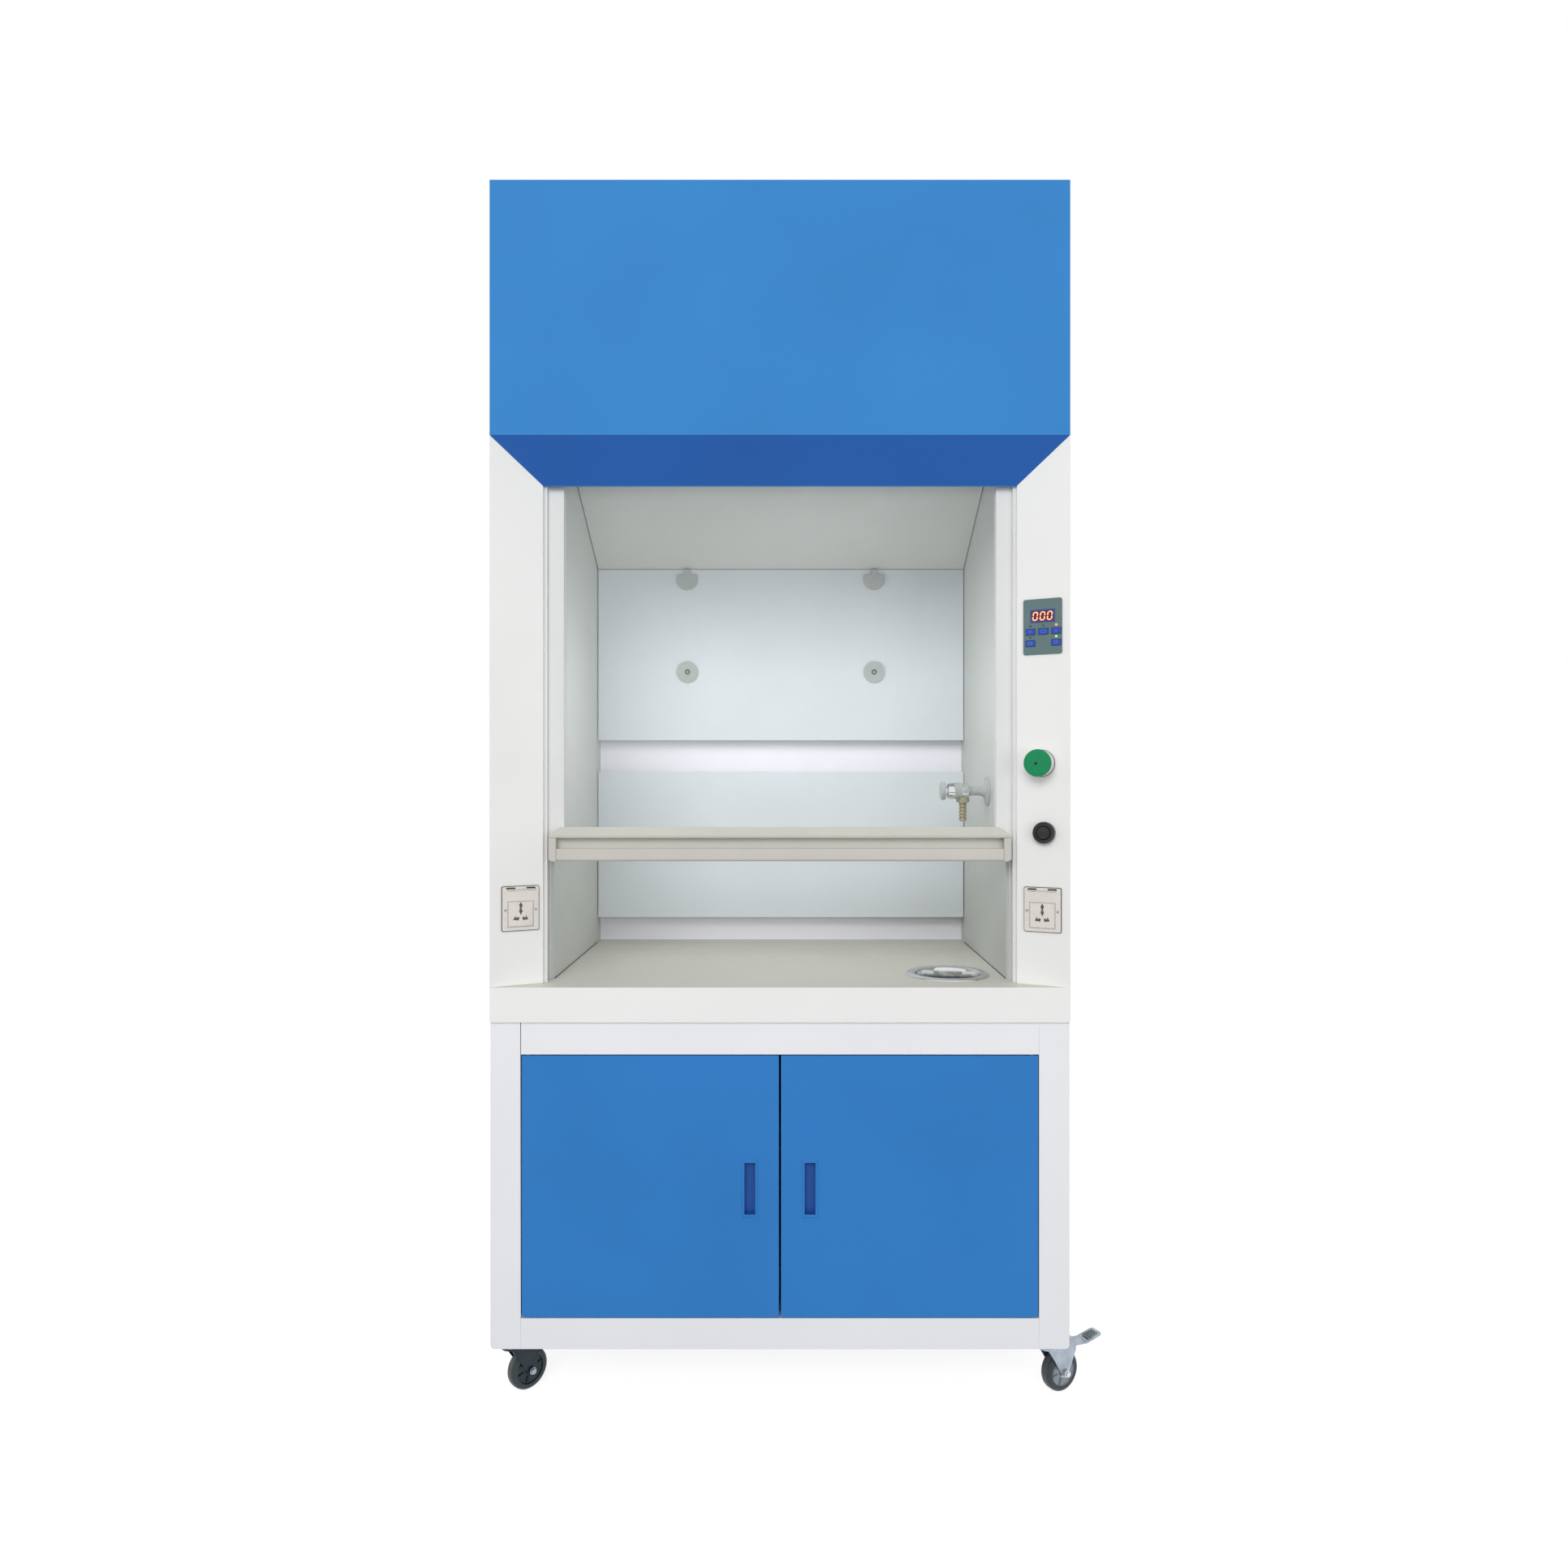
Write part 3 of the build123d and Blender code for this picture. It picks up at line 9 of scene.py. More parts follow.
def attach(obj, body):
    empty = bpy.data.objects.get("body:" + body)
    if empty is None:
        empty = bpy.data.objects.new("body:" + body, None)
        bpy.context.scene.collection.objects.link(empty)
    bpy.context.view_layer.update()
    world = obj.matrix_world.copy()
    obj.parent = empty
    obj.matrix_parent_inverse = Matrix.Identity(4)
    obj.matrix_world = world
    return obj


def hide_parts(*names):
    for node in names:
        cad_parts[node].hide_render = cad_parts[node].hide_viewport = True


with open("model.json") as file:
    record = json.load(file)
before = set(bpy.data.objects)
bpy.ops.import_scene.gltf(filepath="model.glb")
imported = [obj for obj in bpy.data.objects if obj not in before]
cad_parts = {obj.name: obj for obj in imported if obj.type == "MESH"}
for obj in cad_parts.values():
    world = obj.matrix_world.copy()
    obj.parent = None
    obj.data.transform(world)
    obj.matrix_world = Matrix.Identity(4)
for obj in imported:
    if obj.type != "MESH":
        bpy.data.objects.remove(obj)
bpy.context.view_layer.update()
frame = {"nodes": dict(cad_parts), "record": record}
nodes = frame["nodes"]
node_body = {}
for body_name, members in frame["record"]["behaviour"]["bodies"].items():
    for member in members:
        node_body[member] = body_name

# Sizes repeated from the part, in millimetres
HALF = 520
FRONT = -400
REAR = 400
HEIGHT = 2200
SPLAY_INSET = 86
SPLAY_DEPTH = 42
SPLAY_TOP = 1822
PANEL = (476, 1403, 3)
DISPLAY = (44, 23.5, 19)
BUTTONS = ((-22, -9), (1.5, -9), (24.5, -9), (-22, -30), (24.5, -30))
BUTTON_TOP = 5
WATER_KNOB = (474, 1155.6, 24.5, 38)
BLACK_KNOB = (479, 1030, 20, 17)
SOCKETS = ((476, 890.5, 1), (471, 893, -1))
SOCKET_PROUD = 4
TAP_Y = -141
TAP_Z = 1104
WALL_X = 423
SINK = (321, -268, 753.4)
CASTERS = (
    ("front_left", -490, -354, 45, False),
    ("front_right", 490, -354, 30, True),
    ("rear_left", -490, 354, 210, True),
    ("rear_right", 490, 354, 225, False),
)
CASTER_TRAIL = 30
WHEEL_RADIUS = 37.5
BASE_FRONT = -394
BASE_BOTTOM = 103
BASE_CORNER = 8
SHEET = 2
PULL = (54, 391.6)
PULL_HALF = (9.9, 46.7)
GLAND = (-300, 1950)
CHAMBER_REAR = 175
FIXING_X = 215
DISC = (129, 1376)
DRAIN = (321, 515, 20)
INLET = (1062, 8)
STUB_REACH = 22

# Camera and its surroundings
LENS = 23.73
EYE = (0.0073, -2.25, 1.118)
WORLD_LIGHT = 0.5
FLOOR_GLOW = 0.84


def srgb(red, green, blue):
    """Linear colour of an 8-bit display colour."""
    linear = []
    for value in (red, green, blue):
        share = value / 255
        linear.append(share / 12.92 if share <= 0.04045 else ((share + 0.055) / 1.055) ** 2.4)
    return (*linear, 1.0)


# Materials
def new_material(name):
    """Empty node material with its Principled shader."""
    material = bpy.data.materials.new(name)
    material.use_nodes = True
    tree = material.node_tree
    return material, tree, tree.nodes["Principled BSDF"]


def noise(tree, scale, detail=3.0, stretch=(1, 1, 1), roughness=0.5):
    """Noise on object coordinates, which may be stretched along an axis."""
    place = tree.nodes.new("ShaderNodeTexCoord")
    mapping = tree.nodes.new("ShaderNodeMapping")
    mapping.inputs["Scale"].default_value = stretch
    texture = tree.nodes.new("ShaderNodeTexNoise")
    texture.inputs["Scale"].default_value = scale
    texture.inputs["Detail"].default_value = detail
    texture.inputs["Roughness"].default_value = roughness
    tree.links.new(place.outputs["Object"], mapping.inputs["Vector"])
    tree.links.new(mapping.outputs["Vector"], texture.inputs["Vector"])
    return texture.outputs["Fac"]


def ramp(tree, value, stops):
    """Colour ramp over a value."""
    node = tree.nodes.new("ShaderNodeValToRGB")
    for index, (position, colour) in enumerate(stops):
        stop = node.color_ramp.elements[index] if index < 2 else node.color_ramp.elements.new(position)
        stop.position = position
        stop.color = colour
    tree.links.new(value, node.inputs["Fac"])
    return node.outputs["Color"]


def spread(tree, value, low, high):
    """Noise value brought to a range."""
    node = tree.nodes.new("ShaderNodeMapRange")
    node.inputs["From Min"].default_value = 0.3
    node.inputs["From Max"].default_value = 0.7
    node.inputs["To Min"].default_value = low
    node.inputs["To Max"].default_value = high
    tree.links.new(value, node.inputs["Value"])
    return node.outputs["Result"]


def bump(tree, shader, height, strength, distance):
    """Fine relief in metres of depth."""
    node = tree.nodes.new("ShaderNodeBump")
    node.inputs["Strength"].default_value = strength
    node.inputs["Distance"].default_value = distance
    tree.links.new(height, node.inputs["Height"])
    tree.links.new(node.outputs["Normal"], shader.inputs["Normal"])


def surface(name, colour, shade=0.04, patch=9, rough=(0.4, 0.5), metallic=0.0, grain=None, ior=1.5):
    """Opaque finish: colour with slow variation, uneven roughness and a fine relief.

    grain is (scale, stretch, strength, distance in metres) of the relief.
    """
    material, tree, shader = new_material(name)
    base = srgb(*colour)
    dark = tuple(value * (1 - shade) for value in base[:3]) + (1,)
    light = tuple(min(value * (1 + shade), 1) for value in base[:3]) + (1,)
    slow = noise(tree, patch, detail=2)
    tree.links.new(ramp(tree, slow, ((0.35, dark), (0.65, light))), shader.inputs["Base Color"])
    uneven = noise(tree, 4 * patch, detail=4)
    tree.links.new(spread(tree, uneven, *rough), shader.inputs["Roughness"])
    shader.inputs["Metallic"].default_value = metallic
    shader.inputs["IOR"].default_value = ior
    if grain:
        scale, stretch, strength, distance = grain
        bump(tree, shader, noise(tree, scale, detail=2, stretch=stretch), strength, distance)
    return material


def clear_surface(name, colour, alpha, rough, dust=0.25):
    """Clear sheet: mostly transparent, with faint dust and a glossy surface."""
    material, tree, shader = new_material(name)
    base = srgb(*colour)
    slow = noise(tree, 14, detail=5)
    tree.links.new(ramp(tree, slow, ((0.3, base), (0.7, tuple(v * 0.97 for v in base[:3]) + (1,)))),
                   shader.inputs["Base Color"])
    shader.inputs["Roughness"].default_value = rough
    shader.inputs["IOR"].default_value = 1.45
    tree.links.new(spread(tree, slow, alpha * (1 - dust), alpha * (1 + dust)), shader.inputs["Alpha"])
    material.surface_render_method = "BLENDED"
    return material


def lit_surface(name, colour, strength):
    """Glowing mark, such as a display segment."""
    material, tree, shader = new_material(name)
    base = srgb(*colour)
    slow = noise(tree, 300, detail=2)
    edge = tuple(value * 0.85 for value in base[:3]) + (1,)
    mixed = ramp(tree, slow, ((0.3, edge), (0.7, base)))
    tree.links.new(mixed, shader.inputs["Base Color"])
    tree.links.new(mixed, shader.inputs["Emission Color"])
    shader.inputs["Emission Strength"].default_value = strength
    shader.inputs["Roughness"].default_value = 0.4
    return material


PEEL = (900, (1, 1, 1), 0.12, 0.00005)
MATT = (1400, (1, 1, 1), 0.15, 0.00004)
ALONG_X = (500, (0.03, 1, 1), 0.15, 0.00003)
ALONG_Z = (500, (1, 1, 0.03), 0.15, 0.00003)
CAST = (350, (1, 1, 1), 0.5, 0.0003)

MATERIALS = {
    "post_white": surface("post_white", (247, 247, 245), 0.012, 5, (0.4, 0.5), grain=PEEL, ior=1.35),
    "sill_white": surface("sill_white", (250, 250, 248), 0.01, 5, (0.4, 0.5), grain=PEEL, ior=1.35),
    "base_white": surface("base_white", (247, 249, 252), 0.012, 5, (0.4, 0.5), grain=PEEL, ior=1.35),
    "fascia_blue": surface("fascia_blue", (60, 138, 208), 0.03, 3, (0.44, 0.54), grain=PEEL, ior=1.3),
    # Deeper blue for the splay face of the same fascia sheet: painted shade, as that face looks down.
    "splay_painted_shade_blue": surface("splay_painted_shade_blue", (42, 98, 178), 0.03, 3, (0.44, 0.54), grain=PEEL, ior=1.3),
    "door_blue": surface("door_blue", (54, 130, 204), 0.035, 3, (0.44, 0.54), grain=PEEL, ior=1.3),
    "pull_blue": surface("pull_blue", (43, 92, 170), 0.03, 20, (0.3, 0.4), grain=MATT, ior=1.3),
    "worktop": surface("worktop", (212, 211, 201), 0.02, 6, (0.4, 0.52), grain=MATT),
    # Liner white darkened to grey: painted shade on the chamber's side walls, ceiling and top baffle.
    "liner_painted_shade": surface("liner_painted_shade", (200, 203, 198), 0.015, 5, (0.42, 0.55), grain=MATT),
    "liner_back": surface("liner_back", (248, 248, 255), 0.01, 5, (0.42, 0.55), grain=MATT),
    "baffle": surface("baffle", (214, 220, 224), 0.012, 5, (0.4, 0.52), grain=MATT),
    "fixing": surface("fixing", (172, 176, 172), 0.03, 60, (0.35, 0.5), grain=MATT),
    "stile": surface("stile", (232, 233, 232), 0.015, 6, (0.42, 0.52), 0.0, ALONG_Z, ior=1.35),
    "handle": surface("handle", (206, 204, 196), 0.02, 8, (0.36, 0.46), 0.0, ALONG_X, ior=1.4),
    "stud_dark": surface("stud_dark", (96, 104, 102), 0.05, 90, (0.4, 0.55), grain=MATT),
    "seal_grey": surface("seal_grey", (84, 86, 82), 0.05, 40, (0.5, 0.65), grain=MATT),
    "zinc": surface("zinc", (168, 178, 190), 0.1, 60, (0.22, 0.42), 0.9, CAST),
    "screw": surface("screw", (190, 192, 194), 0.06, 300, (0.22, 0.36), 0.95, MATT),
    "chrome": surface("chrome", (222, 224, 226), 0.01, 40, (0.04, 0.09), 1.0, MATT),
    "steel": surface("steel", (226, 227, 227), 0.02, 30, (0.08, 0.16), 1.0, (900, (1, 1, 1), 0.05, 0.00002)),
    # Darker, rougher copy of the sink steel for the bowl's inside: painted shade.
    "sink_steel_painted_shade": surface("sink_steel_painted_shade", (170, 172, 170), 0.03, 30, (0.2, 0.3), 0.75, MATT),
    "brass": surface("brass", (176, 166, 130), 0.06, 90, (0.2, 0.35), 0.9, MATT),
    "tap_grey": surface("tap_grey", (172, 176, 176), 0.03, 60, (0.35, 0.5), grain=MATT),
    "pvc_grey": surface("pvc_grey", (120, 126, 130), 0.04, 8, (0.4, 0.55), grain=MATT),
    "trap_white": surface("trap_white", (222, 222, 216), 0.02, 20, (0.35, 0.5), grain=MATT),
    "panel_grey": surface("panel_grey", (96, 120, 120), 0.03, 25, (0.34, 0.46), grain=MATT),
    "display_frame": surface("display_frame", (40, 78, 158), 0.03, 60, (0.25, 0.35), grain=MATT),
    "display_red": surface("display_red", (104, 14, 16), 0.12, 500, (0.08, 0.14), grain=MATT),
    "display_cell": surface("display_cell", (66, 10, 14), 0.12, 500, (0.08, 0.14), grain=MATT),
    "button_blue": surface("button_blue", (38, 72, 176), 0.05, 120, (0.22, 0.32), grain=MATT),
    "button_mark": surface("button_mark", (84, 132, 214), 0.05, 200, (0.3, 0.4), grain=MATT),
    "led_dark": surface("led_dark", (10, 24, 26), 0.1, 300, (0.1, 0.2), grain=MATT),
    "socket_white": surface("socket_white", (236, 231, 224), 0.02, 40, (0.24, 0.34), grain=MATT),
    "socket_line": surface("socket_line", (188, 182, 174), 0.03, 80, (0.3, 0.45), grain=MATT),
    "socket_edge": surface("socket_edge", (74, 66, 60), 0.05, 80, (0.3, 0.45), grain=MATT),
    # Near-black for holes, slots and screw recesses is painted shade; it also colours the knob's index dot.
    "hole_black": surface("hole_black", (14, 13, 12), 0.2, 200, (0.5, 0.7), grain=MATT),
    "knob_green": surface("knob_green", (30, 142, 90), 0.03, 40, (0.34, 0.44), grain=MATT, ior=1.3),
    "knob_white": surface("knob_white", (236, 238, 240), 0.015, 60, (0.26, 0.36), grain=MATT),
    "knob_rim": surface("knob_rim", (92, 88, 90), 0.05, 60, (0.3, 0.4), grain=MATT),
    "knob_black": surface("knob_black", (5, 8, 10), 0.1, 60, (0.1, 0.18), grain=MATT, ior=1.5),
    "rubber_black": surface("rubber_black", (30, 32, 34), 0.1, 60, (0.5, 0.68), grain=CAST),
    "tyre": surface("tyre", (40, 48, 52), 0.12, 50, (0.3, 0.45), grain=MATT),
    "tread": surface("tread", (74, 78, 80), 0.1, 50, (0.42, 0.6), grain=CAST),
    "hub_grey": surface("hub_grey", (140, 150, 158), 0.06, 50, (0.3, 0.42), 0.4, CAST),
    "fork_dark": surface("fork_dark", (38, 50, 58), 0.15, 50, (0.2, 0.34), 0.5, CAST),
    "pedal_tip": surface("pedal_tip", (132, 142, 138), 0.05, 60, (0.35, 0.5), grain=MATT),
    "weight_iron": surface("weight_iron", (60, 62, 64), 0.12, 30, (0.45, 0.6), 0.3, CAST),
    "motor_paint": surface("motor_paint", (70, 84, 96), 0.06, 25, (0.35, 0.5), grain=CAST),
    "lamp_white": surface("lamp_white", (240, 242, 240), 0.01, 30, (0.3, 0.4), grain=MATT),
    "belt": surface("belt", (30, 30, 31), 0.1, 60, (0.55, 0.7), grain=(900, (1, 1, 0.2), 0.4, 0.0002)),
    "glass": clear_surface("glass", (235, 243, 247), 0.055, 0.03),
    "lid_clear": clear_surface("lid_clear", (238, 234, 230), 0.05, 0.1),
    "digit": lit_surface("digit", (255, 176, 150), 0.9),
    "led_red": lit_surface("led_red", (255, 120, 116), 1.6),
    "led_green": lit_surface("led_green", (190, 240, 60), 1.4),
}


# Mesh helpers. Lengths are in millimetres and become metres here.
def matrix_at(origin, out=(0, 0, 1), across=None):
    """Local frame: x across, z out, origin in millimetres."""
    z = Vector(out).normalized()
    guess = Vector(across) if across else Vector((1, 0, 0) if abs(z.x) < 0.9 else (0, 1, 0))
    y = z.cross(guess).normalized()
    x = y.cross(z)
    turn = Matrix((x, y, z)).transposed().to_4x4()
    return Matrix.Translation(Vector(origin) * 0.001) @ turn


def splay_matrix(x, z, side):
    """Frame on the splayed face of a post: x across to the right, y up, z out of it."""
    length = math.hypot(SPLAY_INSET, SPLAY_DEPTH)
    back = SPLAY_DEPTH * (HALF - x) / SPLAY_INSET
    out = (-side * SPLAY_DEPTH / length, -SPLAY_INSET / length, 0)
    across = (SPLAY_INSET / length, -side * SPLAY_DEPTH / length, 0)
    return matrix_at((side * x, FRONT + back, z), out, across)


def finish_piece(name, bm, place, material, body, angle=35):
    """Object from a bmesh built in millimetres, placed and riding on its body."""
    bmesh.ops.scale(bm, vec=(0.001,) * 3, verts=bm.verts)
    bmesh.ops.transform(bm, matrix=place, verts=bm.verts)
    bmesh.ops.recalc_face_normals(bm, faces=bm.faces)
    mesh = bpy.data.meshes.new(name)
    bm.to_mesh(mesh)
    bm.free()
    piece = bpy.data.objects.new(name, mesh)
    bpy.context.scene.collection.objects.link(piece)
    for entry in material if isinstance(material, (list, tuple)) else [material]:
        mesh.materials.append(MATERIALS[entry])
    smooth_by_angle(mesh, angle)
    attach(piece, body)
    return piece


def smooth_by_angle(mesh, angle):
    """Smooth shading with sharp edges above an angle in degrees."""
    mesh.shade_smooth()
    mesh.set_sharp_from_angle(angle=math.radians(angle))


def add_lathe(bm, profile, segments=48, place=None, index=0):
    """Turned solid about local z from (radius, height) points.

    A point may also name the material of the band after it.
    """
    rings = []
    for entry in profile:
        radius, height = entry[0], entry[1]
        ring = []
        if radius < 1e-6:
            ring.append(bm.verts.new((0, 0, height)))
        else:
            for step in range(segments):
                turn = 2 * math.pi * step / segments
                ring.append(bm.verts.new((radius * math.cos(turn), radius * math.sin(turn), height)))
        rings.append(ring)
    for number, (low, high) in enumerate(zip(rings, rings[1:])):
        entry = profile[number]
        band = entry[2] if len(entry) > 2 else index
        for step in range(segments):
            after = (step + 1) % segments
            corners = [low[turn % len(low)] for turn in (step, after)]
            corners += [high[turn % len(high)] for turn in (after, step)]
            unique = list(dict.fromkeys(corners))
            if len(unique) > 2:
                face = bm.faces.new(unique)
                face.material_index = band
    verts = [vert for ring in rings for vert in ring]
    if place is not None:
        bmesh.ops.transform(bm, matrix=place, verts=verts)
    return verts


def add_box(bm, x0, x1, y0, y1, z0, z1, bevel=0.0, place=None, index=0):
    """Box with rounded edges."""
    made = bmesh.ops.create_cube(bm, size=1.0)["verts"]
    centre = Vector(((x0 + x1) / 2, (y0 + y1) / 2, (z0 + z1) / 2))
    for vert in made:
        vert.co = Vector((vert.co.x * (x1 - x0), vert.co.y * (y1 - y0), vert.co.z * (z1 - z0))) + centre
    edges = list({edge for vert in made for edge in vert.link_edges})
    faces = {face for vert in made for face in vert.link_faces}
    if bevel:
        result = bmesh.ops.bevel(
            bm, geom=edges, offset=bevel, segments=2, affect="EDGES", profile=0.5, clamp_overlap=True
        )
        faces = {face for vert in result["verts"] for face in vert.link_faces}
        made = list({vert for face in faces for vert in face.verts})
    for face in faces:
        face.material_index = index
    if place is not None:
        bmesh.ops.transform(bm, matrix=place, verts=made)
    return made


def add_prism(bm, outline, z0, z1, place=None, index=0):
    """Solid between two heights from a closed outline in x and y."""
    low = [bm.verts.new((x, y, z0)) for x, y in outline]
    high = [bm.verts.new((x, y, z1)) for x, y in outline]
    faces = [bm.faces.new(low[::-1]), bm.faces.new(high)]
    count = len(outline)
    for step in range(count):
        after = (step + 1) % count
        faces.append(bm.faces.new((low[step], low[after], high[after], high[step])))
    for face in faces:
        face.material_index = index
    if place is not None:
        bmesh.ops.transform(bm, matrix=place, verts=low + high)
    return low + high


def ring_outline(width, height, corner, steps=5):
    """Rounded rectangle about the origin."""
    points = []
    for cx, cy, start in ((1, 1, 0), (-1, 1, 90), (-1, -1, 180), (1, -1, 270)):
        for step in range(steps + 1):
            turn = math.radians(start + 90 * step / steps)
            x = cx * (width / 2 - corner) + corner * math.cos(turn)
            y = cy * (height / 2 - corner) + corner * math.sin(turn)
            points.append((x, y))
    return points


def add_frame(bm, outer, inner, z0, z1, shift=(0, 0), index=0):
    """Flat ring between two outlines of the same number of points."""
    rows = []
    for outline, z in ((outer, z0), (outer, z1), (inner, z1), (inner, z0)):
        rows.append([bm.verts.new((x + shift[0], y + shift[1], z)) for x, y in outline])
    count = len(outer)
    for row in range(4):
        for step in range(count):
            after = (step + 1) % count
            face = bm.faces.new(
                (rows[row][step], rows[row][after], rows[(row + 1) % 4][after], rows[(row + 1) % 4][step])
            )
            face.material_index = index


def dress(node, material):
    """Procedural material on a CAD node that is shown as it is."""
    mesh = nodes[node].data
    mesh.materials.clear()
    mesh.materials.append(MATERIALS[material])


def soften(node, material, width=0.6, extra=None):
    """The node's own shape with rounded edges, which stands for the node.

    extra is (material, test): faces whose centre, in millimetres, and normal pass the test get that material.
    """
    mesh = nodes[node].data.copy()
    bm = bmesh.new()
    bm.from_mesh(mesh)
    bmesh.ops.remove_doubles(bm, verts=bm.verts, dist=1e-6)
    bmesh.ops.dissolve_limit(bm, angle_limit=math.radians(0.5), verts=bm.verts, edges=bm.edges)
    bm.to_mesh(mesh)
    bm.free()
    mesh.materials.clear()
    mesh.materials.append(MATERIALS[material])
    if extra:
        mesh.materials.append(MATERIALS[extra[0]])
        place = nodes[node].matrix_world
        for polygon in mesh.polygons:
            centre = place @ polygon.center * 1000
            if extra[1](centre, place.to_3x3() @ polygon.normal):
                polygon.material_index = 1
    piece = bpy.data.objects.new(node + "_rounded", mesh)
    bpy.context.scene.collection.objects.link(piece)
    smooth_by_angle(mesh, 35)
    if width:
        rounding = piece.modifiers.new("rounding", "BEVEL")
        rounding.width = width * 0.001
        rounding.segments = 2
        rounding.limit_method = "ANGLE"
        rounding.angle_limit = math.radians(40)
        rounding.harden_normals = True
    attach(piece, node_body[node])
    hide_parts(node)
    return piece


# Camera, floor and light
def make_camera():
    """Camera at eye height in front of the hood, level and square to it."""
    data = bpy.data.cameras.new("camera")
    data.lens = LENS
    data.sensor_width = 36
    data.clip_start = 0.05
    camera = bpy.data.objects.new("camera", data)
    camera.location = EYE
    camera.rotation_euler = (math.pi / 2, 0, 0)
    bpy.context.scene.collection.objects.link(camera)
    bpy.context.scene.camera = camera


def seen_rays(tree):
    """One for rays that show a surface as it is: camera, glossy and transmission rays."""
    rays = tree.nodes.new("ShaderNodeLightPath")
    value = rays.outputs["Is Camera Ray"]
    for kind in ("Is Glossy Ray", "Is Transmission Ray"):
        most = tree.nodes.new("ShaderNodeMath")
        most.operation = "MAXIMUM"
        tree.links.new(value, most.inputs[0])
        tree.links.new(rays.outputs[kind], most.inputs[1])
        value = most.outputs[0]
    return value


def make_floor():
    """Pale floor that the camera sees as white, with the hood's shadow on it."""
    material = bpy.data.materials.new("floor")
    material.use_nodes = True
    tree = material.node_tree
    tree.nodes.clear()
    output = tree.nodes.new("ShaderNodeOutputMaterial")
    diffuse = tree.nodes.new("ShaderNodeBsdfDiffuse")
    diffuse.inputs["Color"].default_value = (0.36, 0.36, 0.37, 1)
    glow = tree.nodes.new("ShaderNodeEmission")
    level = tree.nodes.new("ShaderNodeMath")
    level.operation = "MULTIPLY"
    level.inputs[1].default_value = FLOOR_GLOW
    both = tree.nodes.new("ShaderNodeAddShader")
    tree.links.new(seen_rays(tree), level.inputs[0])
    tree.links.new(level.outputs[0], glow.inputs["Strength"])
    tree.links.new(diffuse.outputs[0], both.inputs[0])
    tree.links.new(glow.outputs[0], both.inputs[1])
    tree.links.new(both.outputs[0], output.inputs["Surface"])
    bm = bmesh.new()
    bmesh.ops.create_grid(bm, x_segments=4, y_segments=4, size=30)
    mesh = bpy.data.meshes.new("floor")
    bm.to_mesh(mesh)
    bm.free()
    mesh.materials.append(material)
    floor = bpy.data.objects.new("floor", mesh)
    bpy.context.scene.collection.objects.link(floor)


def make_lamp(name, place, target, size, power):
    """Soft box that points at a target."""
    data = bpy.data.lights.new(name, "AREA")
    data.shape = "RECTANGLE"
    data.size, data.size_y = size
    data.energy = power
    lamp = bpy.data.objects.new(name, data)
    lamp.location = place
    lamp.rotation_euler = (Vector(target) - Vector(place)).to_track_quat("-Z", "Y").to_euler()
    place_lamp(lamp)


def make_chamber_glow(name, place, radius, power):
    """Soft light inside the chamber, as from its ceiling lamp and pale walls."""
    data = bpy.data.lights.new(name, "POINT")
    data.shadow_soft_size = radius
    data.energy = power
    lamp = bpy.data.objects.new(name, data)
    lamp.location = place
    place_lamp(lamp)


def place_lamp(lamp):
    """Puts a lamp in the scene, itself unseen."""
    lamp.visible_camera = False
    lamp.visible_glossy = False
    lamp.visible_transmission = False
    bpy.context.scene.collection.objects.link(lamp)


def make_world():
    """Even white surround, seen as pure white."""
    world = bpy.data.worlds.new("world")
    bpy.context.scene.world = world
    world.use_nodes = True
    tree = world.node_tree
    background = tree.nodes["Background"]
    background.inputs["Color"].default_value = (1, 1, 1, 1)
    level = tree.nodes.new("ShaderNodeMapRange")
    level.inputs["To Min"].default_value = WORLD_LIGHT
    level.inputs["To Max"].default_value = 1.0
    tree.links.new(seen_rays(tree), level.inputs["Value"])
    tree.links.new(level.outputs[0], background.inputs["Strength"])


# Small fasteners
def add_screw(bm, place, radius=4.0, index=0):
    """Pan head screw with a cross recess, standing on the local z = 0 plane."""
    profile = ((0, -0.2), (radius, -0.2), (radius, 0.7), (0.85 * radius, 1.5), (0.5 * radius, 1.9), (0, 2.0))
    add_lathe(bm, profile, 20, place, index)
    # The cross recess is two near-black bars at the top of the head: painted shade for the recess.
    for turn in (0, math.pi / 2):
        slot = place @ Matrix.Rotation(turn, 4, "Z")
        add_box(bm, -0.55 * radius, 0.55 * radius, -0.35, 0.35, 1.7, 2.06, 0, slot, index + 1)


def add_bolt(bm, place, across, height, index=0):
    """Hexagon bolt head with a washer."""
    add_lathe(bm, ((0, 0), (0.72 * across, 0), (0.72 * across, 0.8), (0, 0.8)), 28, place, index)
    head = [(0.577 * across * math.cos(math.radians(60 * k)), 0.577 * across * math.sin(math.radians(60 * k)))
            for k in range(6)]
    add_prism(bm, head, 0.8, height - 0.4, place, index)
    add_lathe(bm, ((0, height - 0.4), (0.5 * across, height - 0.4), (0.46 * across, height), (0, height)), 24,
              place, index)


def screws(name, places, body="root", radius=4.0):
    """Several screws as one piece."""
    bm = bmesh.new()
    for place in places:
        local = place.copy()
        local.translation *= 1000
        add_screw(bm, local, radius)
    return finish_piece(name, bm, Matrix.Identity(4), ["screw", "hole_black"], body)


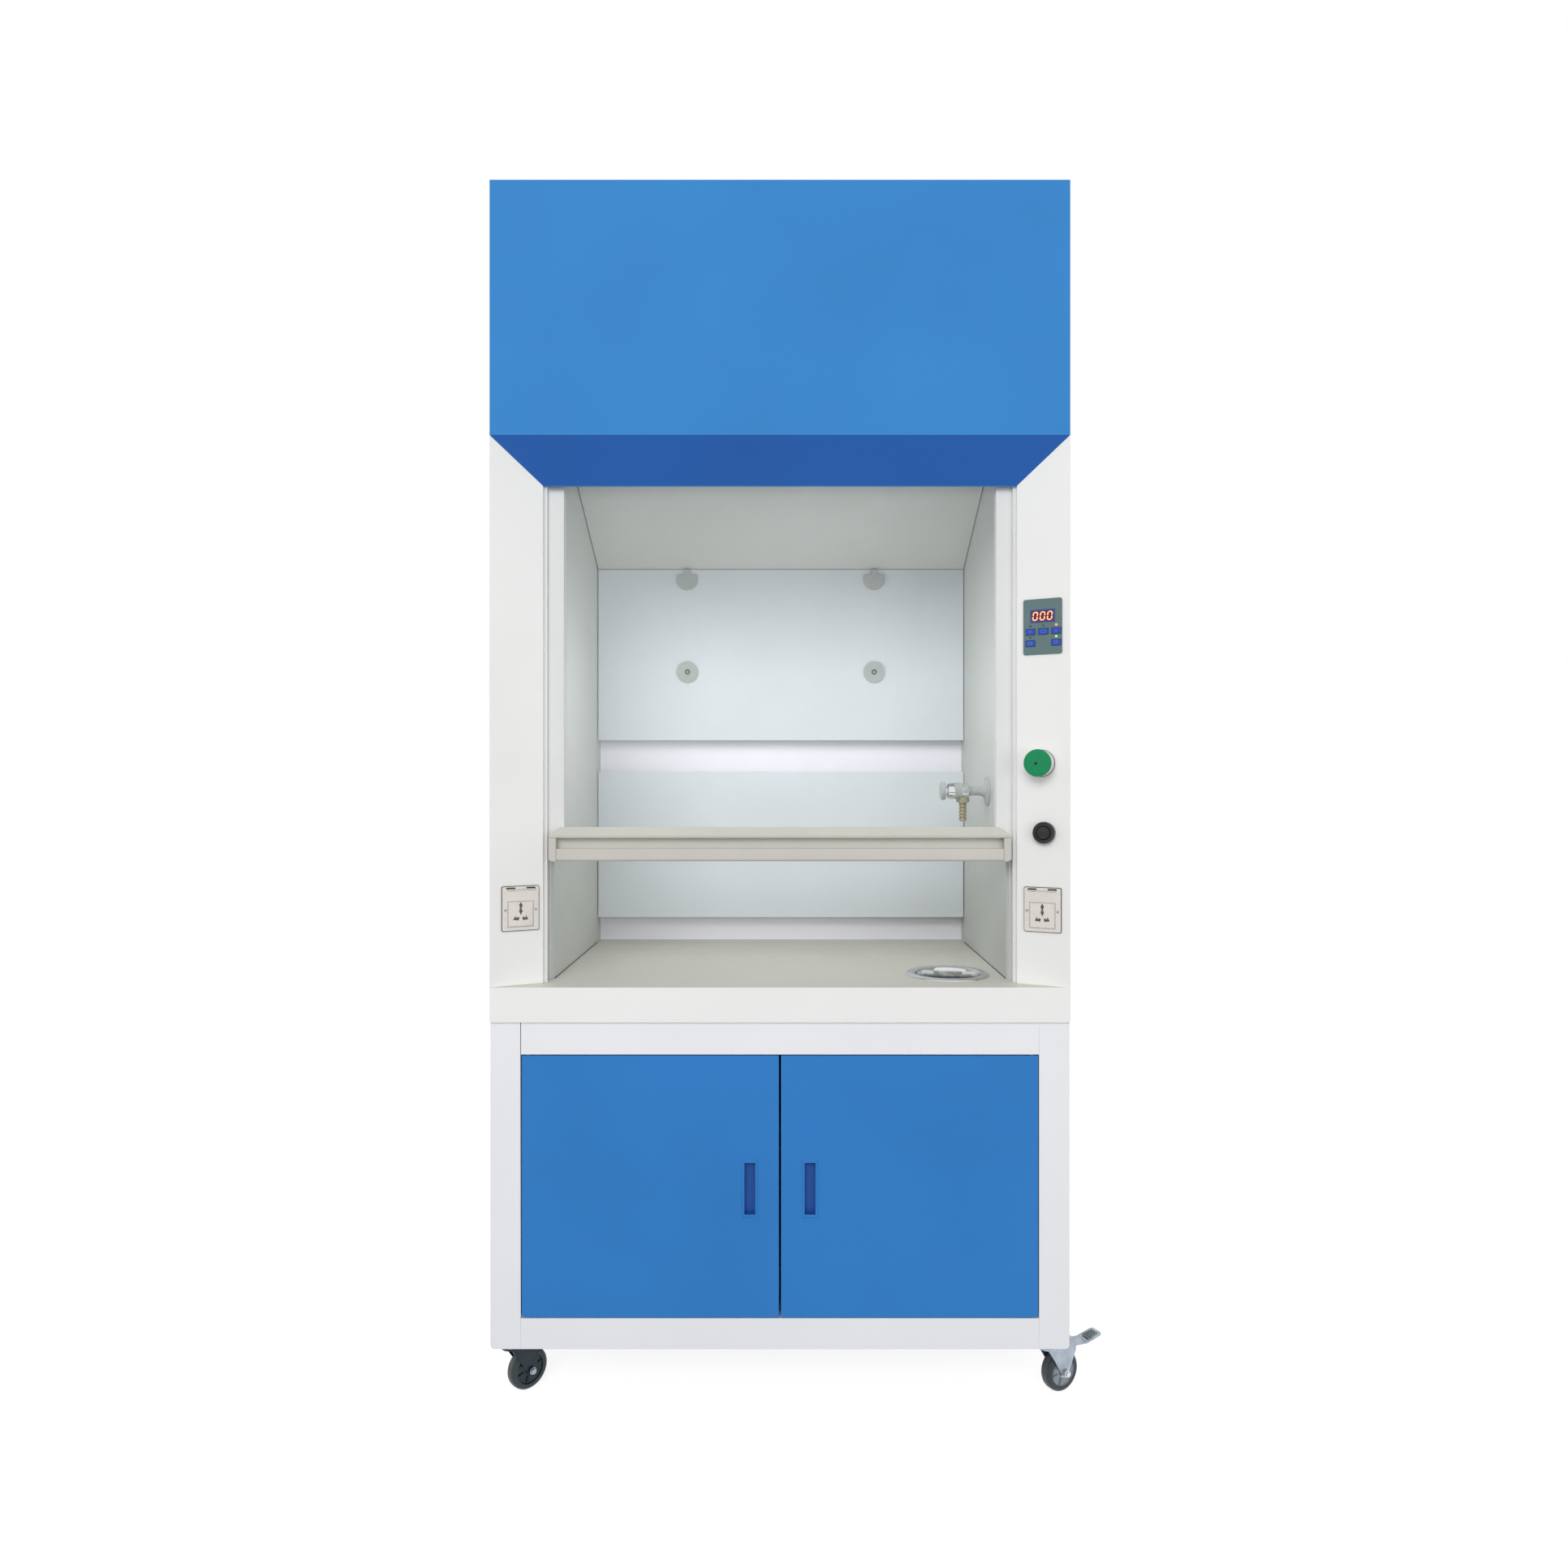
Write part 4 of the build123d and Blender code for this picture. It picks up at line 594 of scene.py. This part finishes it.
def make_casing_screws():
    """Screws that hold the back sheets, the lid and the duct flange."""
    places = []
    for x in (-500, -250, 0, 250, 500):
        for z in (130, 664, 772, 2182):
            places.append(matrix_at((x, REAR, z), (0, 1, 0)))
    for x in (-506, 506):
        for z in (400, 1050, 1330, 1610, 1890):
            places.append(matrix_at((x, REAR, z), (0, 1, 0)))
    screws("back_screws", places, radius=4.5)
    places = []
    for x in (-500, -250, 0, 250, 500):
        for y in (-380, 384):
            places.append(matrix_at((x, y, HEIGHT)))
    for x in (-506, 506):
        for y in (-190, 190):
            places.append(matrix_at((x, y, HEIGHT)))
    screws("lid_screws", places, radius=4.5)
    places = []
    for step in range(8):
        turn = math.radians(45 * step + 22.5)
        places.append(matrix_at((109 * math.cos(turn), 109 * math.sin(turn), HEIGHT + 2)))
    screws("duct_flange_screws", places, radius=3.5)


# Controls on the right post
def add_segment(bm, x0, y0, x1, y1, half, z0, z1, slant, index=0):
    """One bar of a seven-segment digit, with pointed ends."""
    along = Vector((x1 - x0, y1 - y0)).normalized()
    side = Vector((-along.y, along.x)) * half
    start, end = Vector((x0, y0)), Vector((x1, y1))
    tip = along * half
    outline = [start, start + tip + side, end - tip + side, end, end - tip - side, start + tip - side]
    add_prism(bm, [(p.x + slant * p.y, p.y) for p in outline][::-1], z0, z1, index=index)


def make_display(place):
    """Blue frame, dark red window cells and three lit digits."""
    bm = bmesh.new()
    height = PANEL[2]
    width, tall, up = DISPLAY
    add_frame(bm, ring_outline(width - 0.4, tall - 0.4, 0.8), ring_outline(width - 4.6, tall - 4.6, 0.6),
              height - 0.1, height + 0.5, (0, up))
    finish_piece("display_frame", bm, place, "display_frame", "root")
    digits = bmesh.new()
    cells = bmesh.new()
    for centre in (-13.0, 0.0, 13.0):
        half_x, half_y, bar, slant = 3.7, 7.0, 1.1, 0.12
        shift = Matrix.Translation((centre, up, 0))
        for sign in (-1, 1):
            for level in (-1, 1):
                add_segment(digits, sign * half_x, level * 0.35, sign * half_x, level * (half_y - 0.2), bar,
                            height + 0.02, height + 0.25, slant)
            add_segment(digits, -half_x + 0.2, sign * half_y, half_x - 0.2, sign * half_y, bar,
                        height + 0.02, height + 0.25, slant)
        digits.verts.ensure_lookup_table()
        fresh = [vert for vert in digits.verts if not vert.tag]
        bmesh.ops.transform(digits, matrix=shift, verts=fresh)
        for vert in fresh:
            vert.tag = True
        for sign in (-1, 1):
            y = up + sign * half_y / 2
            add_box(cells, centre + slant * sign * half_y / 2 - 2.1, centre + slant * sign * half_y / 2 + 2.1,
                    y - 2.2, y + 2.2, height + 0.01, height + 0.12)
    finish_piece("display_digits", digits, place, "digit", "root")
    finish_piece("display_cells", cells, place, "display_cell", "root")


def make_leds(place):
    """Five indicator lamps over the buttons; two are lit."""
    for number, (x, y, material, radius) in enumerate((
        (-22, 1.7, "led_dark", 1.5),
        (1.5, 1.7, "led_dark", 1.4),
        (24.5, 1.7, "led_red", 2.2),
        (-22, -19.2, "led_dark", 1.5),
        (24.5, -19.2, "led_green", 1.8),
    )):
        bm = bmesh.new()
        top = PANEL[2]
        profile = ((0, top - 0.2), (radius, top - 0.2), (radius, top + 0.2), (0.8 * radius, top + 0.7),
                   (0.4 * radius, top + 0.95), (0, top + 1.0))
        add_lathe(bm, profile, 20, Matrix.Translation((x, y, 0)))
        finish_piece(f"led_{number + 1}", bm, place, material, "root")


def symbol_outlines(index):
    """Generic mark of a button, as frames (outer, inner) and plain outlines.

    In order they are a fan, a ring, a lamp, a tray and a power ring.
    """
    circle = lambda r, rx=1.0: [
        (rx * r * math.cos(math.radians(20 * k)), r * math.sin(math.radians(20 * k))) for k in range(18)
    ]
    if index == 0:
        blades = []
        for turn in (90, 210, 330):
            points = [(0.5, 0.3), (2.9, 0.9), (3.1, 2.0), (1.6, 1.9)]
            c, s = math.cos(math.radians(turn)), math.sin(math.radians(turn))
            blades.append([(1.1 * (x * c - y * s), x * s + y * c) for x, y in points])
        return [], blades + [circle(0.7)]
    if index == 1:
        return [(circle(3.1, 1.55), circle(2.4, 1.6))], []
    if index == 2:
        return [], [circle(1.3), [(-0.6, -3.2), (0.6, -3.2), (0.6, -1.6), (-0.6, -1.6)]]
    if index == 3:
        bar = [(-3.6, -0.4), (3.6, -0.4), (3.6, 0.4), (-3.6, 0.4)]
        return [(ring_outline(8.6, 5.6, 1.4), ring_outline(7.2, 4.2, 0.9))], [bar]
    stem = [(-0.4, 0.6), (0.4, 0.6), (0.4, 3.4), (-0.4, 3.4)]
    return [(circle(2.8, 1.2), circle(2.1, 1.25))], [stem]


def make_button_marks(place):
    """Raised marks, each riding on its own button."""
    for index, (x, y) in enumerate(BUTTONS):
        bm = bmesh.new()
        rings, plates = symbol_outlines(index)
        for outer, inner in rings:
            add_frame(bm, outer, inner, BUTTON_TOP - 0.05, BUTTON_TOP + 0.12)
        for outline in plates:
            add_prism(bm, outline, BUTTON_TOP - 0.05, BUTTON_TOP + 0.12)
        bmesh.ops.translate(bm, vec=(x, y, 0), verts=bm.verts)
        finish_piece(f"button_mark_{index + 1}", bm, place, "button_mark", f"button_{index + 1}")


def make_water_knob():
    """Green cap on a fluted white barrel, with a dark foot ring and an index dot."""
    x, z, radius, length = WATER_KNOB
    place = splay_matrix(x, z, 1)
    bm = bmesh.new()
    foot, barrel, cap = 2, 1, 0
    profile = [
        (0, -12, foot), (4, -12, foot), (4, 1, foot), (radius - 0.6, 1, foot), (radius, 1.6, foot),
        (radius, 3.4, foot), (radius - 1.0, 3.6, barrel), (radius - 1.0, 31.5, barrel),
        (radius - 0.4, 31.6, cap), (radius, 32.2, cap), (radius, length - 2.2, cap),
        (radius - 0.7, length - 0.7, cap),
        (radius - 2.2, length, cap), (6, length - 0.15, cap), (0, length - 0.2, cap),
    ]
    add_lathe(bm, profile, 96)
    for vert in bm.verts:
        reach = math.hypot(vert.co.x, vert.co.y)
        if 4 < vert.co.z < 31.55 and reach > radius - 2:
            turn = math.atan2(vert.co.y, vert.co.x)
            if round(turn / (2 * math.pi / 96)) % 2:
                vert.co.x *= (reach - 0.5) / reach
                vert.co.y *= (reach - 0.5) / reach
    finishes = ["knob_green", "knob_white", "knob_rim"]
    piece = finish_piece("water_knob_turned", bm, place, finishes, "water_knob")
    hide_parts("water_knob")
    bm = bmesh.new()
    add_lathe(bm, ((0, length - 0.6), (2.7, length - 0.6), (2.7, length - 0.05), (2.1, length + 0.02),
                   (1.6, length - 0.12), (0, length - 0.16)), 28, Matrix.Translation((-2.4, -1.0, 0)))
    finish_piece("water_knob_dot", bm, place, "hole_black", "water_knob")


def make_black_knob():
    """Glossy black knob with a raised rim and a hollow face."""
    x, z, radius, length = BLACK_KNOB
    bm = bmesh.new()
    profile = [
        (0, -12), (4, -12), (4, 1), (radius - 1, 1), (radius, 2), (radius, 9.5), (radius - 0.5, 12),
        (radius - 1.6, 14.4), (radius - 3.2, 16.2), (radius - 5.0, length), (radius - 6.4, length - 0.5),
        (radius - 7.6, length - 2.0), (radius - 8.6, length - 3.4), (radius - 10.5, length - 4.0),
        (0, length - 4.2),
    ]
    add_lathe(bm, profile, 72)
    piece = finish_piece("black_knob_turned", bm, splay_matrix(x, z, 1), "knob_black", "black_knob")
    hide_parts("black_knob")


def make_socket_details():
    """Screws, edge line, insert rim, holes and hinge slots of both sockets."""
    for x, z, side in SOCKETS:
        tag = "right" if side > 0 else "left"
        place = splay_matrix(x, z, side)
        bm = bmesh.new()
        for sx in (-27.5, 27.5):
            add_screw(bm, Matrix.Translation((sx, -2.5, SOCKET_PROUD)), 2.6, 0)
        finish_piece(f"socket_screws_{tag}", bm, place, ["screw", "hole_black"], "root")
        bm = bmesh.new()
        add_frame(bm, ring_outline(67.4, 81.4, 3.2), ring_outline(64.4, 78.4, 2.2), 0.02, 2.2)
        finish_piece(f"socket_edge_{tag}", bm, place, "socket_edge", "root")
        bm = bmesh.new()
        add_frame(bm, ring_outline(47, 47, 1.2), ring_outline(44.6, 44.6, 0.8), SOCKET_PROUD - 0.1,
                  SOCKET_PROUD + 0.8, (0, -10))
        finish_piece(f"socket_insert_rim_{tag}", bm, place, "socket_line", "root")
        # Holes and hinge slots are near-black plates and blocks just proud of the face: painted shade for the
        # openings.
        bm = bmesh.new()
        top = SOCKET_PROUD + 1.5
        low, high = top - 0.2, top + 0.06
        for y in (5.6, -5.0):
            add_prism(bm, [(0, y - 5.8), (3.4, y), (0, y + 5.8), (-3.4, y)], low, high)
        for side_x in (-1, 1):
            tip = [(2.6, -14.9), (8.5, -17.0), (9.2, -12.6), (13.7, -19.9), (3.6, -21.4)]
            arrow = [(side_x * x, y) for x, y in tip]
            add_prism(bm, arrow if side_x > 0 else arrow[::-1], low, high)
        finish_piece(f"socket_holes_{tag}", bm, place, "hole_black", "root")
        bm = bmesh.new()
        for middle in (-18, 18):
            add_box(bm, middle - 7.5, middle + 7.5, 35.8, 38.2, SOCKET_PROUD, SOCKET_PROUD + 4.6, 0.3)
        finish_piece(f"socket_hinge_slots_{tag}", bm, place, "hole_black", "root")


# Water tap
def make_tap():
    """Wall flange with screws, pipe, chrome body, ceramic cap and a serrated hose nozzle."""
    axis = matrix_at((WALL_X, TAP_Y, TAP_Z), (-1, 0, 0), (0, 0, -1))
    grey, chrome, brass = 0, 1, 2
    bm = bmesh.new()
    pipe = [
        (0, 0, grey), (30.5, 0, grey), (30.5, 2.2, grey), (29.0, 3.6, grey), (19, 5.2, grey), (13, 8.5, grey),
        (10.6, 13, grey), (9.2, 19, grey), (9.0, 34, grey), (10.4, 35.2, grey), (10.4, 38, chrome),
    ]
    body = [
        (14.2, 38.4, chrome), (16.5, 41, chrome), (16.5, 52, chrome), (15.6, 53.2, chrome),
        (15.6, 56.5, chrome), (16.5, 57.8, chrome), (16.5, 79, chrome), (15.2, 82.2, chrome),
        (12.5, 83, chrome), (9.5, 83.2, chrome), (9.5, 86.8, grey), (17.6, 87, grey), (18.5, 88, grey),
        (18.5, 94.8, grey), (17.6, 96, grey), (0, 96, grey),
    ]
    add_lathe(bm, pipe + body, 64)
    local = axis.copy()
    local.translation *= 1000
    outlet = Matrix.Translation((WALL_X - 51, TAP_Y, TAP_Z)) @ Matrix.Rotation(math.pi, 4, "X")
    down = local.inverted() @ outlet
    head = [(13.4 * math.cos(math.radians(60 * k)), 13.4 * math.sin(math.radians(60 * k))) for k in range(6)]
    add_prism(bm, head, 13, 23, down, brass)
    nozzle = [(0, 10, brass), (10.3, 10, brass), (10.3, 12.2, brass), (7, 12.4, brass), (7, 20.8, brass),
              (8.9, 21, brass), (8.9, 25, brass), (6.6, 26, brass)]
    height = 26.0
    for _ in range(5):
        nozzle += [(8.3, height + 1.2, brass), (8.3, height + 2.2, brass), (6.4, height + 6.6, brass)]
        height += 7.0
    nozzle += [(6.0, 61.5, brass), (4.0, 61.9, brass), (4.0, 52, brass), (0, 52, brass)]
    add_lathe(bm, nozzle, 40, down)
    for turn in (0, 180):
        spot = Matrix.Rotation(math.radians(turn), 4, "Z") @ Matrix.Translation((25, 0, 3.5))
        add_screw(bm, spot, 2.6, 3)
    finishes = ["tap_grey", "chrome", "brass", "screw", "hole_black"]
    piece = finish_piece("tap_turned", bm, axis, finishes, "root")
    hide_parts("water_tap")


def add_thread(bm, radius, length, pitch):
    """Ridges of a pipe thread along local z."""
    profile = [(radius - 0.3, 0.2)]
    height = 1.0
    while height + pitch < length - 0.8:
        crest = radius + 0.5
        profile += [(radius - 0.2, height), (crest, height + 0.4 * pitch), (crest, height + 0.5 * pitch)]
        height += pitch
    profile += [(radius - 0.3, height)]
    add_lathe(bm, profile, 48)


def make_threads():
    """Threads on the drain stub and on the water inlet stub at the back."""
    branch = splay_matrix(WATER_KNOB[0], WATER_KNOB[1], 1) @ Matrix.Translation((0, 0, -0.012))
    stubs = (
        ("drain_thread", "trap_white", DRAIN[0], DRAIN[1], DRAIN[2], 2.3),
        ("inlet_thread", "brass", branch.translation.x * 1000, INLET[0], INLET[1], 1.8),
    )
    for name, finish, x, z, radius, pitch in stubs:
        bm = bmesh.new()
        add_thread(bm, radius, STUB_REACH, pitch)
        finish_piece(name, bm, matrix_at((x, REAR, z), (0, 1, 0)), finish, "root")


def make_worktop_seals():
    """Dark sealing line along both side walls, where they stand on the worktop."""
    bm = bmesh.new()
    for side in (-1, 1):
        edges = sorted((side * WALL_X, side * (WALL_X - 1.6)))
        add_box(bm, *edges, FRONT + 86, DISC[0] - 2, SINK[2] - 0.3, SINK[2] + 1.2, 0.4)
    finish_piece("worktop_seals", bm, Matrix.Identity(4), "seal_grey", "root")


def make_base_edge():
    """Lower edge of the back sheet, between the rounded corners of the folded base."""
    outline = []
    for x, start in ((HALF - BASE_CORNER, -90), (BASE_CORNER - HALF, 180)):
        for step in range(7):
            turn = math.radians(start + 15 * step)
            reach = BASE_CORNER - SHEET - 0.05
            outline.append((x + reach * math.cos(turn), BASE_BOTTOM + BASE_CORNER + reach * math.sin(turn)))
    bm = bmesh.new()
    add_prism(bm, outline, 0.05 - REAR, SHEET - REAR, Matrix.Rotation(math.pi / 2, 4, "X"))
    finish_piece("base_back_edge", bm, Matrix.Identity(4), "base_white", "root")


def make_disc_studs():
    """Dark recess and screw in the middle of each round pad."""
    bm = bmesh.new()
    for x in (-FIXING_X, FIXING_X):
        spot = matrix_at((x, DISC[0] + 3, DISC[1]), (0, -1, 0))
        spot.translation *= 1000
        cup = ((0, 0.05), (6.3, 0.05), (6.3, 2.4), (5.4, 2.6), (4.4, 0.7))
        screw = ((2.9, 0.6, 1), (2.9, 1.8, 1), (2.2, 2.3, 1), (0, 2.3))
        add_lathe(bm, cup + screw, 32, spot)
    finish_piece("disc_studs", bm, Matrix.Identity(4), ["stud_dark", "screw"], "root")


# Sink
def make_sink():
    """Polished cup with a rolled rim, and a cross strainer at its bottom."""
    outer, opening, drain = 63, 60.5, 16
    # Points marked 1 start the bowl's inside bands, in the darker steel copy that paints shade.
    profile = [
        (79, 0.02), (79.2, 0.7), (78.8, 1.7), (77.6, 2.9), (75.5, 3.6), (70, 4.05), (65, 4.0), (62.3, 3.2),
        (61.0, 1.8), (opening, 0), (opening - 0.6, -20, 1), (opening - 3, -101, 1),
        (opening - 5, -112, 1), (opening - 10, -123, 1), (opening - 18, -129.5, 1), (24, -133, 1),
        (drain + 1, -134.4, 1), (12, -135.5, 1), (12, -175),
        (drain, -175), (drain, -139), (24, -137.5), (opening - 16, -133), (opening - 7, -125),
        (outer - 3.2, -112), (outer - 2.4, -101), (outer, -20), (outer, 0), (79, 0.02),
    ]
    bm = bmesh.new()
    add_lathe(bm, profile, 96)
    bmesh.ops.remove_doubles(bm, verts=bm.verts, dist=0.001)
    place = matrix_at(SINK)
    piece = finish_piece("sink_spun", bm, place, ["steel", "sink_steel_painted_shade"], "root")
    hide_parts("sink_cup")
    bm = bmesh.new()
    for turn in (0, 45, 90, 135):
        add_box(bm, -12.4, 12.4, -1.1, 1.1, -137.6, -135.6, 0.3, Matrix.Rotation(math.radians(turn), 4, "Z"))
    finish_piece("sink_strainer", bm, place, "chrome", "root")


# Casters
def make_wheel(name, x, y, heading, brake):
    """Tyre, tread band, dished hub with spokes' ribs and bearing caps."""
    turn = math.radians(heading)
    along = Vector((math.cos(turn), math.sin(turn), 0))
    axle = (-math.sin(turn), math.cos(turn), 0)
    centre = (x + CASTER_TRAIL * along.x, y + CASTER_TRAIL * along.y, WHEEL_RADIUS)
    place = matrix_at(centre, axle, (0, 0, 1))
    tyre, tread, hub, cap = 0, 1, 2, 3
    half = [
        (4.05, 13, cap), (10, 13, cap), (10, 10, hub), (13, 8.5, hub), (15, 7.6, hub), (22, 7.6, hub),
        (25.5, 8.6, hub), (26.5, 11.2, tyre), (28, 12, tyre), (31.5, 12, tyre), (34.8, 10.4, tyre),
        (36.6, 7.8, tyre), (37.3, 5.0, tread), (37.5, 2.0, tread),
    ]
    back = [(r, -h, m) for r, h, m in half[::-1]]
    shifted = [(r, h, back[min(i + 1, len(back) - 1)][2]) for i, (r, h, m) in enumerate(back)]
    bm = bmesh.new()
    add_lathe(bm, half + shifted + [half[0]], 72)
    bmesh.ops.remove_doubles(bm, verts=bm.verts, dist=0.001)
    for side in (-1, 1):
        for k in range(6):
            spot = Matrix.Rotation(math.radians(60 * k + 15), 4, "Z")
            add_box(bm, 12, 25.4, -1.1, 1.1, side * 7.2, side * 9.4, 0.4, spot, hub)
    if brake:
        finishes = ["tyre", "tread", "hub_grey", "chrome"]
    else:
        finishes = ["tyre", "tread", "fork_dark", "rubber_black"]
    piece = finish_piece(f"wheel_{name}", bm, place, finishes, f"wheel_{name}")
    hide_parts(f"caster_wheel_{name}")


def make_fork_details(name, x, y, heading, brake):
    """Bolt heads at both ends of the axle."""
    turn = math.radians(heading)
    axle = Vector((-math.sin(turn), math.cos(turn), 0))
    along = Vector((math.cos(turn), math.sin(turn), 0))
    bm = bmesh.new()
    centre = Vector((x, y, WHEEL_RADIUS)) + CASTER_TRAIL * along
    for side in (-1, 1):
        spot = matrix_at(centre + side * 19.4 * axle, side * axle, (0, 0, 1))
        spot.translation *= 1000
        add_bolt(bm, spot, 9, 5.2)
    finish = "chrome" if brake else "zinc"
    finish_piece(f"axle_bolts_{name}", bm, Matrix.Identity(4), finish, f"fork_{name}", 25)


def make_plate_bolts():
    """Four bolts through each caster plate."""
    bm = bmesh.new()
    for _, x, y, *_ in CASTERS:
        for dx in (-22, 22):
            for dy in (-22, 22):
                spot = matrix_at((x + dx, y + dy, 100), (0, 0, -1))
                spot.translation *= 1000
                add_bolt(bm, spot, 6, 3.4)
    finish_piece("caster_plate_bolts", bm, Matrix.Identity(4), "zinc", "root", 25)


def make_pedal_tip(name, x, y, heading):
    """Grip ribs on the end of the brake lever, riding on the pedal."""
    turn = math.radians(heading)
    along = Vector((math.cos(turn), math.sin(turn), 0))
    place = matrix_at(Vector((x, y, 0)), (0, 0, 1), along)
    bm = bmesh.new()
    for rib in range(5):
        start = 96 + 5.5 * rib
        add_box(bm, start, start + 2.2, -8, 8, 79.5 + 0.1 * rib, 82.0 + 0.45 * rib, 0.5)
    finish_piece(f"pedal_grip_{name}", bm, place, "pedal_tip", f"pedal_{name}")


# Which faces of a node get a second finish
def in_pull(centre, normal):
    """Faces inside the rim of a door's recessed pull."""
    inside = abs(abs(centre.x) - PULL[0]) < PULL_HALF[0] and abs(centre.z - PULL[1]) < PULL_HALF[1]
    return inside and BASE_FRONT < centre.y < BASE_FRONT + 17


def in_gland(centre, normal):
    """Faces of the cable gland."""
    return math.hypot(centre.x - GLAND[0], centre.z - GLAND[1]) < 18


def at_back(centre, normal):
    """Inner face of the chamber's back wall."""
    return normal.y < -0.9 and abs(centre.y - CHAMBER_REAR) < 1


def on_splay(centre, normal):
    """Lower, inward-sloping face of the front cover, which gets a darker blue as painted shade."""
    return centre.z < SPLAY_TOP + 1 and normal.y < 0


make_camera()
make_world()
make_floor()
make_lamp("key", (-1.3, -5.4, 3.5), (0, -0.4, 1.1), (3.2, 2.2), 140)
make_lamp("fill", (2.4, -4.8, 1.1), (0, -0.4, 0.9), (2.6, 2.0), 39)
for name, x in (("chamber_glow_left", -0.22), ("chamber_glow_right", 0.22)):
    make_chamber_glow(name, (x, -0.2, 1.3), 0.2, 1.5)

EXTRA = {
    # The splay face of the fascia takes the darker blue, painted shade.
    "fascia": ("splay_painted_shade_blue", on_splay),
    "door_left": ("pull_blue", in_pull),
    "door_right": ("pull_blue", in_pull),
    "rear_panel": ("rubber_black", in_gland),
    # The back face keeps the liner's white; the rest of the liner has the grey painted-shade copy.
    "chamber_liner": ("liner_back", at_back),
}
SOFT = {
    "base_front_frame": ("base_white", 0.8),
    "sill": ("sill_white", 0.7),
    "fascia": ("fascia_blue", 0.8),
    "post_left": ("post_white", 0.7),
    "post_right": ("post_white", 0.7),
    "sash_frame": ("stile", 0.7),
    "sash_handle": ("handle", 0.6),
    "chamber_liner": ("liner_painted_shade", 0),
    "rear_panel": ("post_white", 0),
    "door_left": ("door_blue", 0.7),
    "door_right": ("door_blue", 0.7),
    "control_panel": ("panel_grey", 0.8),
    "socket_outlets": ("socket_white", 0.4),
    "sash_guides": ("stile", 0.4),
}
for node, (finish, width) in SOFT.items():
    soften(node, finish, width, EXTRA.get(node))

PLAIN = {
    "base_panels": "base_white",
    "worktop": "worktop",
    "side_panels": "post_white",
    "top_panel": "post_white",
    "duct_collar": "pvc_grey",
    "ceiling_panel": "liner_painted_shade",
    "baffle_top": "liner_painted_shade",
    "baffle_middle": "baffle",
    "baffle_lower": "baffle",
    "baffle_fixings": "fixing",
    "ceiling_lamp": "lamp_white",
    "drain_trap": "trap_white",
    "water_valve": "steel",
    "display_window": "display_red",
    "balance_mounts": "zinc",
    "drive_belts": "belt",
    "hinge_pins": "zinc",
    "blower_housing": "pvc_grey",
    "blower_motor": "motor_paint",
    "caster_plates": "zinc",
    "sash_glass": "glass",
    "counterweights": "weight_iron",
    "pulley_shaft": "zinc",
    "idler_pulleys": "stile",
    "socket_lid_left": "lid_clear",
    "socket_lid_right": "lid_clear",
    "impeller": "pvc_grey",
    "brake_pedal_front_right": "zinc",
    "brake_pedal_rear_left": "zinc",
}
for node, finish in PLAIN.items():
    dress(node, finish)
for number in range(1, 6):
    dress(f"button_{number}", "button_blue")
for name, x, y, heading, brake in CASTERS:
    dress(f"caster_fork_{name}", "zinc" if brake else "fork_dark")

panel_place = splay_matrix(PANEL[0], PANEL[1], 1)
make_display(panel_place)
make_leds(panel_place)
make_button_marks(panel_place)
make_water_knob()
make_black_knob()
make_socket_details()
make_tap()
make_sink()
make_threads()
make_disc_studs()
make_worktop_seals()
make_base_edge()
for name, x, y, heading, brake in CASTERS:
    make_wheel(name, x, y, heading, brake)
    make_fork_details(name, x, y, heading, brake)
    if brake:
        make_pedal_tip(name, x, y, heading)
make_plate_bolts()
make_casing_screws()

bpy.context.scene.view_settings.view_transform = "Standard"
